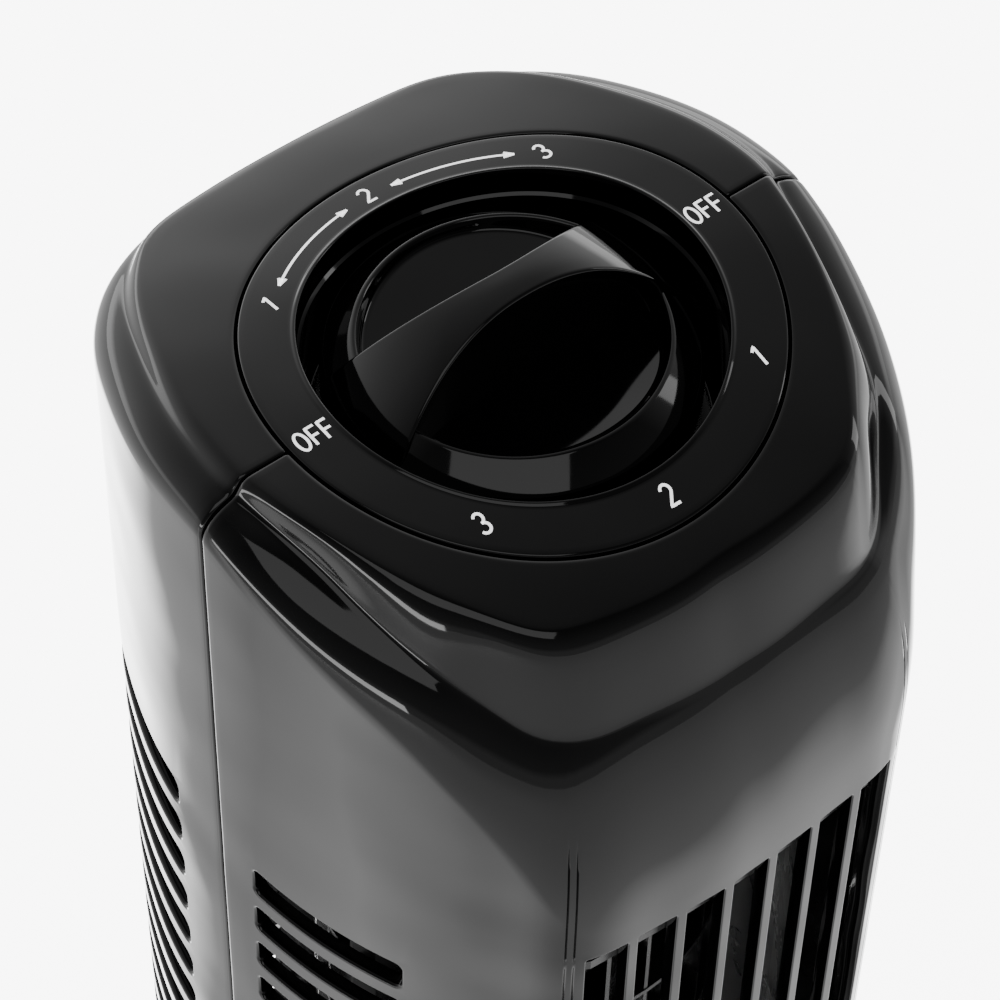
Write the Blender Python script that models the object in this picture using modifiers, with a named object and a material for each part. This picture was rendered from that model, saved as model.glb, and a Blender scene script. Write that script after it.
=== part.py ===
"""Oscillating tower fan: round two-piece base, swivelling slim body, crossflow impeller, top rotary switch.

The origin is on the floor under the swivel axis, +Z up, and the outlet grille faces -Y.
Values are in millimetres. MM turns them into metres where meshes are made.
"""

import math

import bmesh
import bpy
import numpy as np
from mathutils import Matrix

MM = 0.001
GAP = 0.3

# Overall sizes
CROWN_TOP = 735.0
BODY_WIDTH = 134.0
BODY_DEPTH = 146.0
BASE_DIAMETER = 240.0
BASE_HEIGHT = 30.0

# Casing
WALL = 2.2
CROWN_RADIUS = 162.0
SHELL_BOTTOM = 33.5
DIAL_RADIUS = 48.0
DIAL_GAP = 0.4
STEP_DEPTH = 3.0
SHOULDER_DEPTH = 8.5

# Outlet grille
OPENING_WIDTH = 72.0
OPENING_TOP = 650.0
OPENING_BOTTOM = 165.0
BAR_COUNT = 6
BAR_WIDTH = 2.3

# Intake slots
SLOT_COUNT = 36
SLOT_PITCH = 12.5
SLOT_HEIGHT = 7.7
SLOT_TOP = 634.0
SPINE_HALF = 8.0

# Impeller and motor
FAN_Y = -6.0
FAN_RADIUS = 42.0
FAN_BOTTOM = 154.0
FAN_TOP = 636.5
BLADE_COUNT = 10
BLADE_DEPTH = 10.5
BLADE_THICK = 1.2
DISC_THICK = 2.5
MOTOR_RADIUS = 38.0
MOTOR_BASE = 92.0
STATOR_HEIGHT = 20.0
SHAFT_RADIUS = 4.0

# Knob and switch
KNOB_RADIUS = 34.0
KNOB_RIM_DROP = 9.8
KNOB_BAND_WIDTH = 5.2
KNOB_BAND_HEIGHT = 5.8
KNOB_FLOOR_DROP = 9.6
KNOB_HUB_RADIUS = 6.0
GRIP_END_HALF = 12.0
GRIP_WAIST_HALF = 4.4
GRIP_RISE = 20.6
WELL_RADIUS = 37.8
WELL_DEPTH = 28.0

# Swivel and its crank
FLOOR_Z = 39.5
FLOOR_THICK = 3.0
POST_RADIUS = 9.0
POST_BORE = 5.5
CRANK_CENTRE = 18.0
CRANK_THROW = 12.6
CRANK_PIN = 2.5

# Fasteners and feet
FOOT_RADIUS = 9.0
FOOT_CIRCLE = 98.0
BASE_SCREW_CIRCLE = 48.0
SCREW_SHANK = 1.9
SCREW_HEAD = 4.0

# Half outlines seen from above, as shares of the half width and half depth, front to rear
BODY_OUTLINE = (
    (0.0, -1.0), (0.33, -0.985), (0.54, -0.96), (0.62, -0.92), (0.685, -0.836), (0.80, -0.685),
    (0.93, -0.41), (0.99, -0.137), (1.0, 0.05), (0.985, 0.247), (0.903, 0.52), (0.776, 0.753),
    (0.657, 0.87), (0.478, 0.957), (0.224, 0.993), (0.0, 1.0),
)
PLATEAU_OUTLINE = (
    (0.0, -0.756), (0.37, -0.737), (0.50, -0.70), (0.552, -0.65), (0.627, -0.548), (0.709, -0.418),
    (0.81, -0.192), (0.851, 0.0), (0.84, 0.196), (0.743, 0.493), (0.593, 0.78), (0.487, 0.886),
    (0.30, 0.925), (0.0, 0.942),
)
# Crease at the foot of the brow: share of half width, share of half depth, drop below the crown top
CREASE = (
    (0.0, -0.87, 32.0), (0.30, -0.855, 31.5), (0.49, -0.82, 31.0), (0.572, -0.767, 29.5),
    (0.642, -0.685, 24.5), (0.736, -0.568, 17.3), (0.791, -0.411, 12.3), (0.824, -0.253, 8.2),
    (0.865, -0.10, 5.0), (0.888, 0.0, 3.6),
)
# Height of the shoulder of the side panels: share of half depth, drop below the crown top
SHOULDER_DROP = (
    (-1.0, 82.0), (-0.93, 72.0), (-0.85, 60.0), (-0.78, 49.0), (-0.685, 38.5), (-0.55, 29.5),
    (-0.41, 23.0), (-0.27, 18.0), (-0.14, 13.5), (0.0, 10.0),
)
SKIN_ANGLES = (-90, -75, -64, -58, -52, -40, -22, 0, 22, 42, 58, 74, 90)

half_width = BODY_WIDTH / 2
half_depth = BODY_DEPTH / 2


# ---------------------------------------------------------------- scene helpers

def clear_scene():
    for old in list(bpy.data.objects):
        bpy.data.objects.remove(old, do_unlink=True)


def new_collection(name):
    made = bpy.data.collections.new(name)
    bpy.context.scene.collection.children.link(made)
    return made


def new_material(name, colour, roughness, metallic=0.0):
    made = bpy.data.materials.new(name)
    made.use_nodes = True
    shader = made.node_tree.nodes["Principled BSDF"]
    shader.inputs["Base Color"].default_value = (*colour, 1.0)
    shader.inputs["Roughness"].default_value = roughness
    shader.inputs["Metallic"].default_value = metallic
    return made


clear_scene()
fan_parts = new_collection("tower_fan")
cutters = new_collection("cutters")
fan_axis = bpy.data.objects.new("fan_axis", None)
fan_axis.location = (0.0, FAN_Y * MM, 0.0)
fan_parts.objects.link(fan_axis)

gloss_black = new_material("gloss_black", (0.012, 0.012, 0.013), 0.12)
satin_black = new_material("satin_black", (0.02, 0.02, 0.021), 0.45)
duct_black = new_material("duct_black", (0.015, 0.015, 0.016), 0.6)
rubber_black = new_material("rubber_black", (0.018, 0.018, 0.018), 0.8)
bright_steel = new_material("bright_steel", (0.6, 0.6, 0.6), 0.3, 1.0)
zinc_steel = new_material("zinc_steel", (0.5, 0.51, 0.53), 0.4, 1.0)
copper_wire = new_material("copper_wire", (0.7, 0.33, 0.16), 0.35, 1.0)
aluminium = new_material("aluminium", (0.7, 0.7, 0.72), 0.35, 1.0)
white_plastic = new_material("white_plastic", (0.75, 0.75, 0.72), 0.5)


def place(mesh_data, name, material, cutter=False):
    made = bpy.data.objects.new(name, mesh_data)
    (cutters if cutter else fan_parts).objects.link(made)
    if material:
        mesh_data.materials.append(material)
    if cutter:
        made.hide_render = True
        made.display_type = "WIRE"
    else:
        mesh_data.shade_smooth()
        mesh_data.set_sharp_from_angle(angle=math.radians(35))
    return made


def from_bmesh(builder, name, material=None, cutter=False):
    bmesh.ops.recalc_face_normals(builder, faces=builder.faces)
    bmesh.ops.scale(builder, vec=(MM, MM, MM), verts=builder.verts)
    data = bpy.data.meshes.new(name)
    builder.to_mesh(data)
    builder.free()
    return place(data, name, material, cutter)


def add_box(builder, low, high):
    low = np.array(low, float)
    high = np.array(high, float)
    matrix = Matrix.Translation((low + high) / 2) @ Matrix.Diagonal((*(high - low), 1.0))
    bmesh.ops.create_cube(builder, size=1.0, matrix=matrix)


def add_rod(builder, centre, radius, low, high, sides=16, axis="Z"):
    """Cylinder between two places on one axis; centre holds the other two coordinates."""
    turn = {"Z": Matrix(), "Y": Matrix.Rotation(math.pi / 2, 4, "X"), "X": Matrix.Rotation(math.pi / 2, 4, "Y")}
    middle = (low + high) / 2
    if axis == "Z":
        place_at = (centre[0], centre[1], middle)
    elif axis == "Y":
        place_at = (centre[0], middle, centre[1])
    else:
        place_at = (middle, centre[0], centre[1])
    matrix = Matrix.Translation(place_at) @ turn[axis]
    bmesh.ops.create_cone(
        builder, cap_ends=True, segments=sides, radius1=radius, radius2=radius, depth=high - low, matrix=matrix
    )


def boxes(name, pairs, material=None, cutter=True):
    builder = bmesh.new()
    for low, high in pairs:
        add_box(builder, low, high)
    return from_bmesh(builder, name, material, cutter)


def rod(name, centre, radius, low, high, material=None, cutter=True, sides=16, axis="Z"):
    builder = bmesh.new()
    add_rod(builder, centre, radius, low, high, sides, axis)
    return from_bmesh(builder, name, material, cutter)


def turned(name, profile, material, steps=32, closed=True, centre=(0.0, 0.0), cutter=False):
    """Profile points (radius, height), running down the outer side, turned about a vertical axis."""
    builder = bmesh.new()
    points = [builder.verts.new((r * MM, 0.0, z * MM)) for r, z in profile]
    for a, b in zip(points, points[1:]):
        builder.edges.new((a, b))
    if closed:
        builder.edges.new((points[-1], points[0]))
    data = bpy.data.meshes.new(name)
    builder.to_mesh(data)
    builder.free()
    made = place(data, name, material, cutter)
    made.location = (centre[0] * MM, centre[1] * MM, 0.0)
    screw = made.modifiers.new("turn", "SCREW")
    screw.steps = steps
    screw.render_steps = steps
    screw.use_merge_vertices = True
    screw.merge_threshold = 0.00001
    return made


def apply_modifiers(made):
    """Bake the modifiers, so that later cuts work on the finished shape."""
    graph = bpy.context.evaluated_depsgraph_get()
    data = bpy.data.meshes.new_from_object(made.evaluated_get(graph))
    made.modifiers.clear()
    made.data = data
    return made


def outline_plate(name, outline, low, high, material=None, cutter=False):
    """Flat outline in the XY plane, extruded between two heights."""
    curve = bpy.data.curves.new(name + "_outline", "CURVE")
    curve.dimensions = "2D"
    curve.fill_mode = "BOTH"
    curve.extrude = (high - low) / 2 * MM
    spline = curve.splines.new("POLY")
    spline.points.add(len(outline) - 1)
    for point, (x, y) in zip(spline.points, outline):
        point.co = (x * MM, y * MM, 0.0, 1.0)
    spline.use_cyclic_u = True
    guide = bpy.data.objects.new(name + "_guide", curve)
    guide.location = (0.0, 0.0, (low + high) / 2 * MM)
    cutters.objects.link(guide)
    bpy.context.view_layer.update()
    graph = bpy.context.evaluated_depsgraph_get()
    data = bpy.data.meshes.new_from_object(guide.evaluated_get(graph))
    builder = bmesh.new()
    builder.from_mesh(data)
    bmesh.ops.remove_doubles(builder, verts=builder.verts, dist=0.00001)
    bmesh.ops.recalc_face_normals(builder, faces=builder.faces)
    builder.to_mesh(data)
    builder.free()
    data.materials.clear()
    made = place(data, name, material, cutter)
    made.matrix_world = guide.matrix_world
    bpy.data.objects.remove(guide, do_unlink=True)
    return made


def boolean(made, other, operation):
    step = made.modifiers.new(operation.lower() + "_" + other.name, "BOOLEAN")
    step.operation = operation
    step.solver = "EXACT"
    step.object = other


def cut(made, *others):
    for other in others:
        boolean(made, other, "DIFFERENCE")


def join(made, *others):
    for other in others:
        boolean(made, other, "UNION")


# ---------------------------------------------------------------- body surface

def crown(y):
    """Height of the arched top at a distance y in front of or behind the swivel axis."""
    return CROWN_TOP - y * y / (2 * CROWN_RADIUS)


def smooth_table(places, values, at):
    """Cubic curve through a table, with slopes from its neighbours."""
    places = np.array(places, float)
    values = np.array(values, float)
    slopes = np.gradient(values, places)
    k = int(np.clip(np.searchsorted(places, at) - 1, 0, len(places) - 2))
    span = places[k + 1] - places[k]
    t = min(max((at - places[k]) / span, 0.0), 1.0)
    start = (1 + 2 * t) * (1 - t) ** 2 * values[k] + t * (1 - t) ** 2 * span * slopes[k]
    end = t * t * (3 - 2 * t) * values[k + 1] + t * t * (t - 1) * span * slopes[k + 1]
    return start + end


def polar_table(outline):
    """Half outline as a table of azimuth in degrees and radius, mirrored past both ends."""
    points = [(x * half_width, y * half_depth) for x, y in outline]
    whole = [(-x, y) for x, y in points[2:0:-1]] + points + [(-x, y) for x, y in points[-2:-4:-1]]
    angles = [math.degrees(math.atan2(y, x)) for x, y in whole]
    angles[:2] = [a if a < -90 else a - 360 for a in angles[:2]]
    return angles, [math.hypot(x, y) for x, y in whole]


BODY_TABLE = polar_table(BODY_OUTLINE)
PLATEAU_TABLE = polar_table(PLATEAU_OUTLINE)


def body_radius(angle):
    return smooth_table(*BODY_TABLE, angle)


def body_outline(inset):
    """Whole body outline from above, drawn in by an inset."""
    half = [(a, body_radius(a) - inset) for a in SKIN_ANGLES]
    right = [(r * math.cos(math.radians(a)), r * math.sin(math.radians(a))) for a, r in half]
    return right + [(-x, y) for x, y in right[-2:0:-1]]


def crease_at(angle):
    """Radius and height of the inner corner round the plateau, at an azimuth of -90 to 90."""
    plateau = smooth_table(*PLATEAU_TABLE, angle)
    body = body_radius(angle)
    if angle >= 0:
        radius = plateau + 0.35 * (body - plateau)
        return radius, crown(radius * math.sin(math.radians(angle))) - STEP_DEPTH
    angles = [math.degrees(math.atan2(y * half_depth, max(x, 0.001) * half_width)) for x, y, _ in CREASE]
    radii = [math.hypot(x * half_width, y * half_depth) for x, y, _ in CREASE]
    drops = [drop for _, _, drop in CREASE]
    return smooth_table(angles, radii, angle), CROWN_TOP - smooth_table(angles, drops, angle)


def shoulder_height(angle):
    y = body_radius(angle) * math.sin(math.radians(angle))
    if angle >= 0:
        return crown(y) - SHOULDER_DEPTH - STEP_DEPTH / 2
    places = [p * half_depth for p, _ in SHOULDER_DROP]
    return CROWN_TOP - smooth_table(places, [d for _, d in SHOULDER_DROP], y)


def bezier(points, t):
    weights = ((1 - t) ** 3, 3 * t * (1 - t) ** 2, 3 * t * t * (1 - t), t ** 3)
    return sum(w * np.array(p) for w, p in zip(weights, points))


def skin_profile(angle, inset):
    """Points (radius, height) of the casing surface from inside the dial opening down to its lower edge."""
    sine = math.sin(math.radians(angle))
    inner = DIAL_RADIUS - 3.0
    edge = smooth_table(*PLATEAU_TABLE, angle)
    crease, crease_z = crease_at(angle)
    body = body_radius(angle)
    shoulder = shoulder_height(angle)
    start = np.array((inner, crown(inner * sine)))
    rim = np.array((edge, crown(edge * sine)))
    corner = np.array((crease, crease_z))
    side = np.array((body, shoulder))
    drop = rim[1] - corner[1]
    wall = [
        rim,
        rim + (0.5 * (crease - edge), -0.04 * drop),
        corner + (-0.3 * (crease - edge), 0.5 * drop),
        corner,
    ]
    brow = [
        corner,
        corner + (0.55 * (body - crease), -0.12 * (crease_z - shoulder)),
        side + (0.0, 0.5 * (crease_z - shoulder)),
        side,
    ]
    lean = np.array((0.55, 0.83))
    rows = [start - inset * np.array((0.0, 1.0))]
    rows += [bezier(wall, t) - inset * lean for t in (0.0, 0.4, 0.75, 1.0)]
    rows += [bezier(brow, t) - inset * lean for t in (0.4, 0.75)]
    rows.append(side - inset * np.array((1.0, 0.3)))
    rows.append(np.array((body - inset, SHELL_BOTTOM)))
    return rows


def skin_rings(inset):
    """Rings of points of the casing surface, one for each row of its profile."""
    columns = [skin_profile(a, inset) for a in SKIN_ANGLES]
    turns = [math.radians(a) for a in SKIN_ANGLES]
    rings = []
    for row in range(len(columns[0])):
        right = [(c[row][0] * math.cos(t), c[row][0] * math.sin(t), c[row][1]) for c, t in zip(columns, turns)]
        rings.append(right + [(-x, y, z) for x, y, z in right[-2:0:-1]])
    return rings


def loft(rings, name, material, cutter, capped):
    """Quads between rings of points. A capped loft closes its ends, an open one meets its own start."""
    builder = bmesh.new()
    made = [[builder.verts.new(p) for p in ring] for ring in rings]
    count = len(rings[0])
    following = made[1:] if capped else made[1:] + made[:1]
    for a, b in zip(made, following):
        for k in range(count):
            builder.faces.new((a[k], a[(k + 1) % count], b[(k + 1) % count], b[k]))
    if capped:
        builder.faces.new(made[0])
        builder.faces.new(made[-1])
    return from_bmesh(builder, name, material, cutter)


# ---------------------------------------------------------------- casing

def slot_levels():
    return [SLOT_TOP - k * SLOT_PITCH for k in range(SLOT_COUNT)]


def opening_boxes():
    """Gaps of the outlet grille, between vertical bars."""
    pitch = (OPENING_WIDTH + BAR_WIDTH) / (BAR_COUNT + 1)
    found = []
    for k in range(BAR_COUNT + 1):
        left = -OPENING_WIDTH / 2 + k * pitch
        right = left + pitch - BAR_WIDTH
        found.append(((left, -half_depth - 5, OPENING_BOTTOM), (right, -half_depth + 12, OPENING_TOP)))
    return found


def slot_boxes(near, far, inner_x):
    """Mirrored boxes that cut one pair of intake slots at each level, from y near to y far."""
    found = []
    for top in slot_levels():
        for side in (-1, 1):
            xs = sorted((side * inner_x, side * (half_width + 5)))
            found.append(((xs[0], near, top - SLOT_HEIGHT), (xs[1], far, top)))
    return found


SCREW_X = half_width - 8.5
SCREW_LEVELS = (60.0, 172.0, 668.0)
BOSS_RADIUS = 4.5


def screw_places():
    return [(side * SCREW_X, z) for z in SCREW_LEVELS for side in (-1, 1)]


def screw_bosses(name, low, high):
    """Bosses along Y beside the seam, each tied to the side wall by a web."""
    builder = bmesh.new()
    for x, z in screw_places():
        add_rod(builder, (x, z), BOSS_RADIUS, low, high, 10, "Y")
    bosses = from_bmesh(builder, name, cutter=True)
    webs = []
    for x, z in screw_places():
        xs = sorted((x, math.copysign(half_width + 5, x)))
        webs.append(((xs[0], low, z - 1.5), (xs[1], min(high, low + 11.0), z + 1.5)))
    join(bosses, boxes(name + "_webs", webs))
    boolean(bosses, inside_body, "INTERSECT")
    return bosses


def screw_holes(name, radius, low, high):
    builder = bmesh.new()
    for x, z in screw_places():
        add_rod(builder, (x, z), radius, low, high, 8, "Y")
    return from_bmesh(builder, name, cutter=True)


inside_body = loft(skin_rings(WALL / 2), "inside_body", None, True, True)


def build_front_shell():
    shell = loft(skin_rings(0.0) + skin_rings(WALL)[::-1], "front_shell", gloss_black, False, False)
    seam = GAP / 2
    reach = half_depth + 10
    cut(shell, rod("front_dial_opening", (0, 0), DIAL_RADIUS + DIAL_GAP, CROWN_TOP - 40, CROWN_TOP + 10, sides=48))
    cut(shell, boxes("behind_seam", [((-reach, -seam, 0), (reach, reach, CROWN_TOP + 20))]))
    join(shell, screw_bosses("front_bosses", -12.0, -seam))
    cut(shell, screw_holes("front_screw_holes", SCREW_SHANK + GAP / 2, -10.0, 5.0))
    cut(shell, boxes("grille_gaps", opening_boxes()))
    cut(shell, boxes("side_slots", slot_boxes(-43.0, -9.5, 50.0)))
    return shell


def build_rear_shell():
    shell = loft(skin_rings(0.0) + skin_rings(WALL)[::-1], "rear_shell", gloss_black, False, False)
    seam = GAP / 2
    reach = half_depth + 10
    cut(shell, rod("rear_dial_opening", (0, 0), DIAL_RADIUS + DIAL_GAP, CROWN_TOP - 40, CROWN_TOP + 10, sides=48))
    cut(shell, boxes("before_seam", [((-reach, -reach, 0), (reach, seam, CROWN_TOP + 20))]))
    join(shell, screw_bosses("rear_bosses", seam, half_depth))
    cut(shell, screw_holes("rear_screw_holes", SCREW_SHANK + GAP, -5.0, 20.0))
    cut(shell, screw_holes("rear_head_pockets", SCREW_HEAD - 0.4, 8.0, half_depth))
    cut(shell, boxes("rear_slots", slot_boxes(15.0, half_depth + 5, SPINE_HALF)))
    return shell


def build_shell_screws():
    for number, (x, z) in enumerate(screw_places(), 1):
        screw = rod(f"shell_screw_{number}", (x, z), SCREW_SHANK - 0.2, -9.0, 9.0, zinc_steel, False, 8, "Y")
        join(screw, rod(f"shell_screw_head_{number}", (x, z), SCREW_HEAD - 0.8, 8.3, 10.5, sides=8, axis="Y"))


build_front_shell()
build_rear_shell()
build_shell_screws()


# ---------------------------------------------------------------- dial, switch and knob

WELL_FLOOR = CROWN_TOP - WELL_DEPTH
FLANGE_TOP = crown(DIAL_RADIUS + 5) - WALL - 2.0


def build_crown_cutter(name):
    """Solid above the arched top, to trim what is set into it."""
    ys = np.linspace(-DIAL_RADIUS - 4, DIAL_RADIUS + 4, 10)
    lower = [(y, crown(y)) for y in ys]
    builder = bmesh.new()
    reach = DIAL_RADIUS + 6
    ends = []
    for x in (-reach, reach):
        ring = [builder.verts.new((x, y, z)) for y, z in lower]
        ring += [builder.verts.new((x, y, CROWN_TOP + 30)) for y in (ys[-1], ys[0])]
        ends.append(ring)
    count = len(ends[0])
    for k in range(count):
        n = (k + 1) % count
        builder.faces.new((ends[0][k], ends[0][n], ends[1][n], ends[1][k]))
    builder.faces.new(ends[0])
    builder.faces.new(ends[1])
    return from_bmesh(builder, name, cutter=True)


def build_dial_ring():
    outer = DIAL_RADIUS
    under = WELL_RADIUS + 2.5
    ring = turned("dial_ring", [
        (outer, CROWN_TOP + 5), (outer, FLANGE_TOP), (outer + 5, FLANGE_TOP), (outer + 5, FLANGE_TOP - 2.5),
        (under, FLANGE_TOP - 2.5), (under, WELL_FLOOR - 2.5), (5.0, WELL_FLOOR - 2.5), (5.0, WELL_FLOOR),
        (WELL_RADIUS, WELL_FLOOR), (WELL_RADIUS, CROWN_TOP + 5),
    ], gloss_black, steps=36)
    apply_modifiers(ring)
    cut(ring, build_crown_cutter("crown_cutter"))
    return ring


SWITCH_TOP = WELL_FLOOR - 2.5 - GAP
SWITCH_HEIGHT = 16.0
BUSHING_TOP = WELL_FLOOR + 4.5
KNOB_FLOOR = CROWN_TOP - KNOB_FLOOR_DROP
SOCKET_TOP = KNOB_FLOOR - 1.6


def build_switch():
    turned("rotary_switch", [
        (4.6, BUSHING_TOP), (4.6, SWITCH_TOP), (16.0, SWITCH_TOP), (16.0, SWITCH_TOP - SWITCH_HEIGHT),
        (0.0, SWITCH_TOP - SWITCH_HEIGHT), (0.0, SWITCH_TOP - 8), (3.3, SWITCH_TOP - 8), (3.3, BUSHING_TOP),
    ], white_plastic, steps=16)
    turned("switch_nut", [
        (7.5, WELL_FLOOR + GAP + 2.6), (7.5, WELL_FLOOR + GAP), (5.1, WELL_FLOOR + GAP),
        (5.1, WELL_FLOOR + GAP + 2.6),
    ], zinc_steel, steps=12)
    turned("switch_shaft", [
        (0.0, SOCKET_TOP - 0.4), (3.0, SOCKET_TOP - 0.4), (3.0, SWITCH_TOP - 7.5), (0.0, SWITCH_TOP - 7.5),
    ], bright_steel, steps=12, closed=False)


KNOB_RIM = CROWN_TOP - KNOB_RIM_DROP
KNOB_BOTTOM = WELL_FLOOR + 3.5
KNOB_UNDERSIDE = KNOB_FLOOR - 2.4


def grip_outline():
    """Hourglass seen from above: wide at the rim, narrow at the middle."""
    ends = math.sqrt(KNOB_RADIUS ** 2 - GRIP_END_HALF ** 2) - 0.6
    xs = np.linspace(-ends, ends, 9)
    share = (np.abs(xs) / ends) ** 1.7
    half = GRIP_WAIST_HALF + (GRIP_END_HALF - GRIP_WAIST_HALF) * share
    upper = [(x, h) for x, h in zip(xs, half)]
    bulge = [(KNOB_RADIUS * math.cos(a) - 0.3, KNOB_RADIUS * math.sin(a)) for a in (0.16, 0.0, -0.16)]
    lower = [(x, -h) for x, h in zip(xs[::-1], half[::-1])]
    return upper + bulge + lower + [(-x, -y) for x, y in bulge]


def build_grip_trimmer():
    """Solid above the arched top edge of the grip."""
    xs = np.linspace(-KNOB_RADIUS, KNOB_RADIUS, 13)
    arch = KNOB_RIM + GRIP_RISE * (1 - (np.abs(xs) / KNOB_RADIUS) ** 2.2)
    over = KNOB_RIM + GRIP_RISE + 20
    ends = []
    builder = bmesh.new()
    for y in (-GRIP_END_HALF - 3, GRIP_END_HALF + 3):
        ring = [builder.verts.new((x, y, z)) for x, z in zip(xs, arch)]
        ring += [builder.verts.new((x, y, over)) for x in (KNOB_RADIUS + 1, -KNOB_RADIUS - 1)]
        ends.append(ring)
    count = len(ends[0])
    for k in range(count):
        n = (k + 1) % count
        builder.faces.new((ends[0][k], ends[0][n], ends[1][n], ends[1][k]))
    builder.faces.new(ends[0])
    builder.faces.new(ends[1])
    return from_bmesh(builder, "grip_trimmer", cutter=True)


def build_knob():
    """Cup with a sloping rim, a socketed hub underneath and an arched grip across the top."""
    band = KNOB_RADIUS - KNOB_BAND_WIDTH
    hub_low = BUSHING_TOP + 1.5
    knob = turned("speed_knob", [
        (0.0, KNOB_FLOOR), (band - 1.2, KNOB_FLOOR), (band, KNOB_RIM + KNOB_BAND_HEIGHT), (KNOB_RADIUS, KNOB_RIM),
        (KNOB_RADIUS, KNOB_BOTTOM), (KNOB_RADIUS - 2, KNOB_BOTTOM), (KNOB_RADIUS - 2, KNOB_UNDERSIDE),
        (KNOB_HUB_RADIUS, KNOB_UNDERSIDE), (KNOB_HUB_RADIUS, hub_low), (3.3, hub_low), (3.3, SOCKET_TOP),
        (0.0, SOCKET_TOP),
    ], gloss_black, steps=32, closed=False)
    apply_modifiers(knob)
    grip = outline_plate("grip_body", grip_outline(), KNOB_FLOOR - 1.0, KNOB_RIM + GRIP_RISE + 4, cutter=True)
    cut(grip, build_grip_trimmer())
    join(knob, grip)
    return knob


build_dial_ring()
build_switch()
build_knob()


# ---------------------------------------------------------------- base and swivel

DOME_CENTRE = 60.0
PAD_UNDER = BASE_HEIGHT - 6.5
HUB_TOP = BASE_HEIGHT + 4.0
HUB_RADIUS = 37.5
FLANGE_RADIUS = 56.0
FLANGE_THICK = 2.8
GLIDE_TOP = BASE_HEIGHT + GAP + 3.0


def dome_profile():
    """Outer and inner line of the base cover, from its centre opening out to the rim and back."""
    rim = BASE_DIAMETER / 2
    top = BASE_HEIGHT
    span = rim - DOME_CENTRE
    arcs = [(math.sin(math.radians(a)), math.cos(math.radians(a))) for a in (0, 24, 46, 66, 85)]
    outer = [(DOME_CENTRE + span * s, 3.0 + (top - 3.0) * c ** 0.9) for s, c in arcs] + [(rim, 3.0)]
    inner = [(DOME_CENTRE + (span - 2.5) * s, 3.0 + (top - 5.5) * c ** 0.9) for s, c in arcs] + [(rim - 2.5, 3.0)]
    opening = HUB_RADIUS + 0.5
    pad = [(DOME_CENTRE, PAD_UNDER), (opening, PAD_UNDER)]
    return [(opening, top)] + outer + inner[:0:-1] + pad


def ring_places(radius, count, start):
    return [
        (radius * math.cos(math.radians(start + k * 360 / count)), radius * math.sin(math.radians(start + k * 360 / count)))
        for k in range(count)
    ]


FEET = ring_places(FOOT_CIRCLE, 4, 45)
BASE_SCREWS = ring_places(BASE_SCREW_CIRCLE, 4, 45)


def build_base_half(name, side):
    half = turned(name, dome_profile(), gloss_black, steps=36)
    apply_modifiers(half)
    reach = BASE_DIAMETER
    away = ((-reach, side * GAP / 2, -10), (reach, -side * reach, 90))
    low, high = np.minimum(*away), np.maximum(*away)
    builder = bmesh.new()
    for x, y in FEET:
        if y * side > 0:
            add_rod(builder, (x, y), FOOT_RADIUS - 1, 3.3, 20.0, 12)
    join(half, from_bmesh(builder, name + "_bosses", cutter=True))
    cut(half, boxes(name + "_other_side", [(low, high)]))
    builder = bmesh.new()
    for x, y in FEET:
        add_rod(builder, (x, y), 3.0 + GAP, 0.0, 10.0, 8)
    for x, y in BASE_SCREWS:
        add_rod(builder, (x, y), SCREW_SHANK + GAP, PAD_UNDER - 5, BASE_HEIGHT - 1.5, 8)
    cut(half, from_bmesh(builder, name + "_holes", cutter=True))
    return half


def build_base():
    build_base_half("base_front_half", -1)
    rear = build_base_half("base_rear_half", 1)
    rim = BASE_DIAMETER / 2
    notch = GLAND_HALF + GAP
    cut(rear, boxes("gland_notch", [((-notch, rim - 16, 0.0), (notch, rim + 6, GLAND_TOP + GAP))]))
    for number, (x, y) in enumerate(FEET, 1):
        turned(f"foot_{number}", [
            (0.0, 9.0), (3.0, 9.0), (3.0, 3.0), (FOOT_RADIUS, 3.0), (FOOT_RADIUS, 0.8), (FOOT_RADIUS - 0.8, 0.0),
            (0.0, 0.0),
        ], rubber_black, steps=12, closed=False, centre=(x, y))
    under = PAD_UNDER - GAP - FLANGE_THICK
    for number, (x, y) in enumerate(BASE_SCREWS, 1):
        turned(f"base_screw_{number}", [
            (0.0, BASE_HEIGHT - 2.0), (SCREW_SHANK, BASE_HEIGHT - 2.0), (SCREW_SHANK, under - GAP),
            (SCREW_HEAD, under - GAP), (SCREW_HEAD, under - GAP - 2.2), (0.0, under - GAP - 2.2),
        ], zinc_steel, steps=8, closed=False, centre=(x, y))


GLAND_HALF = 5.0
GLAND_TOP = 13.0


def build_cord_gland():
    rim = BASE_DIAMETER / 2
    gland = boxes("cord_gland", [((-GLAND_HALF, rim - 9, 3.3), (GLAND_HALF, rim, GLAND_TOP))], rubber_black, False)
    join(gland, boxes("gland_lip", [((-GLAND_HALF - 2, rim - 12, 3.3), (GLAND_HALF + 2, rim - 8, GLAND_TOP - 1))]))
    cut(rear_half(), boxes("gland_lip_room", [((-GLAND_HALF - 2.5, rim - 16, 0.0), (GLAND_HALF + 2.5, rim - 7.6, GLAND_TOP))]))
    cut(gland, rod("gland_bore", (0, (3.3 + GLAND_TOP) / 2), 3.3, rim - 15, rim + 3, sides=12, axis="Y"))
    return gland


def rear_half():
    return bpy.data.objects["base_rear_half"]


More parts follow.
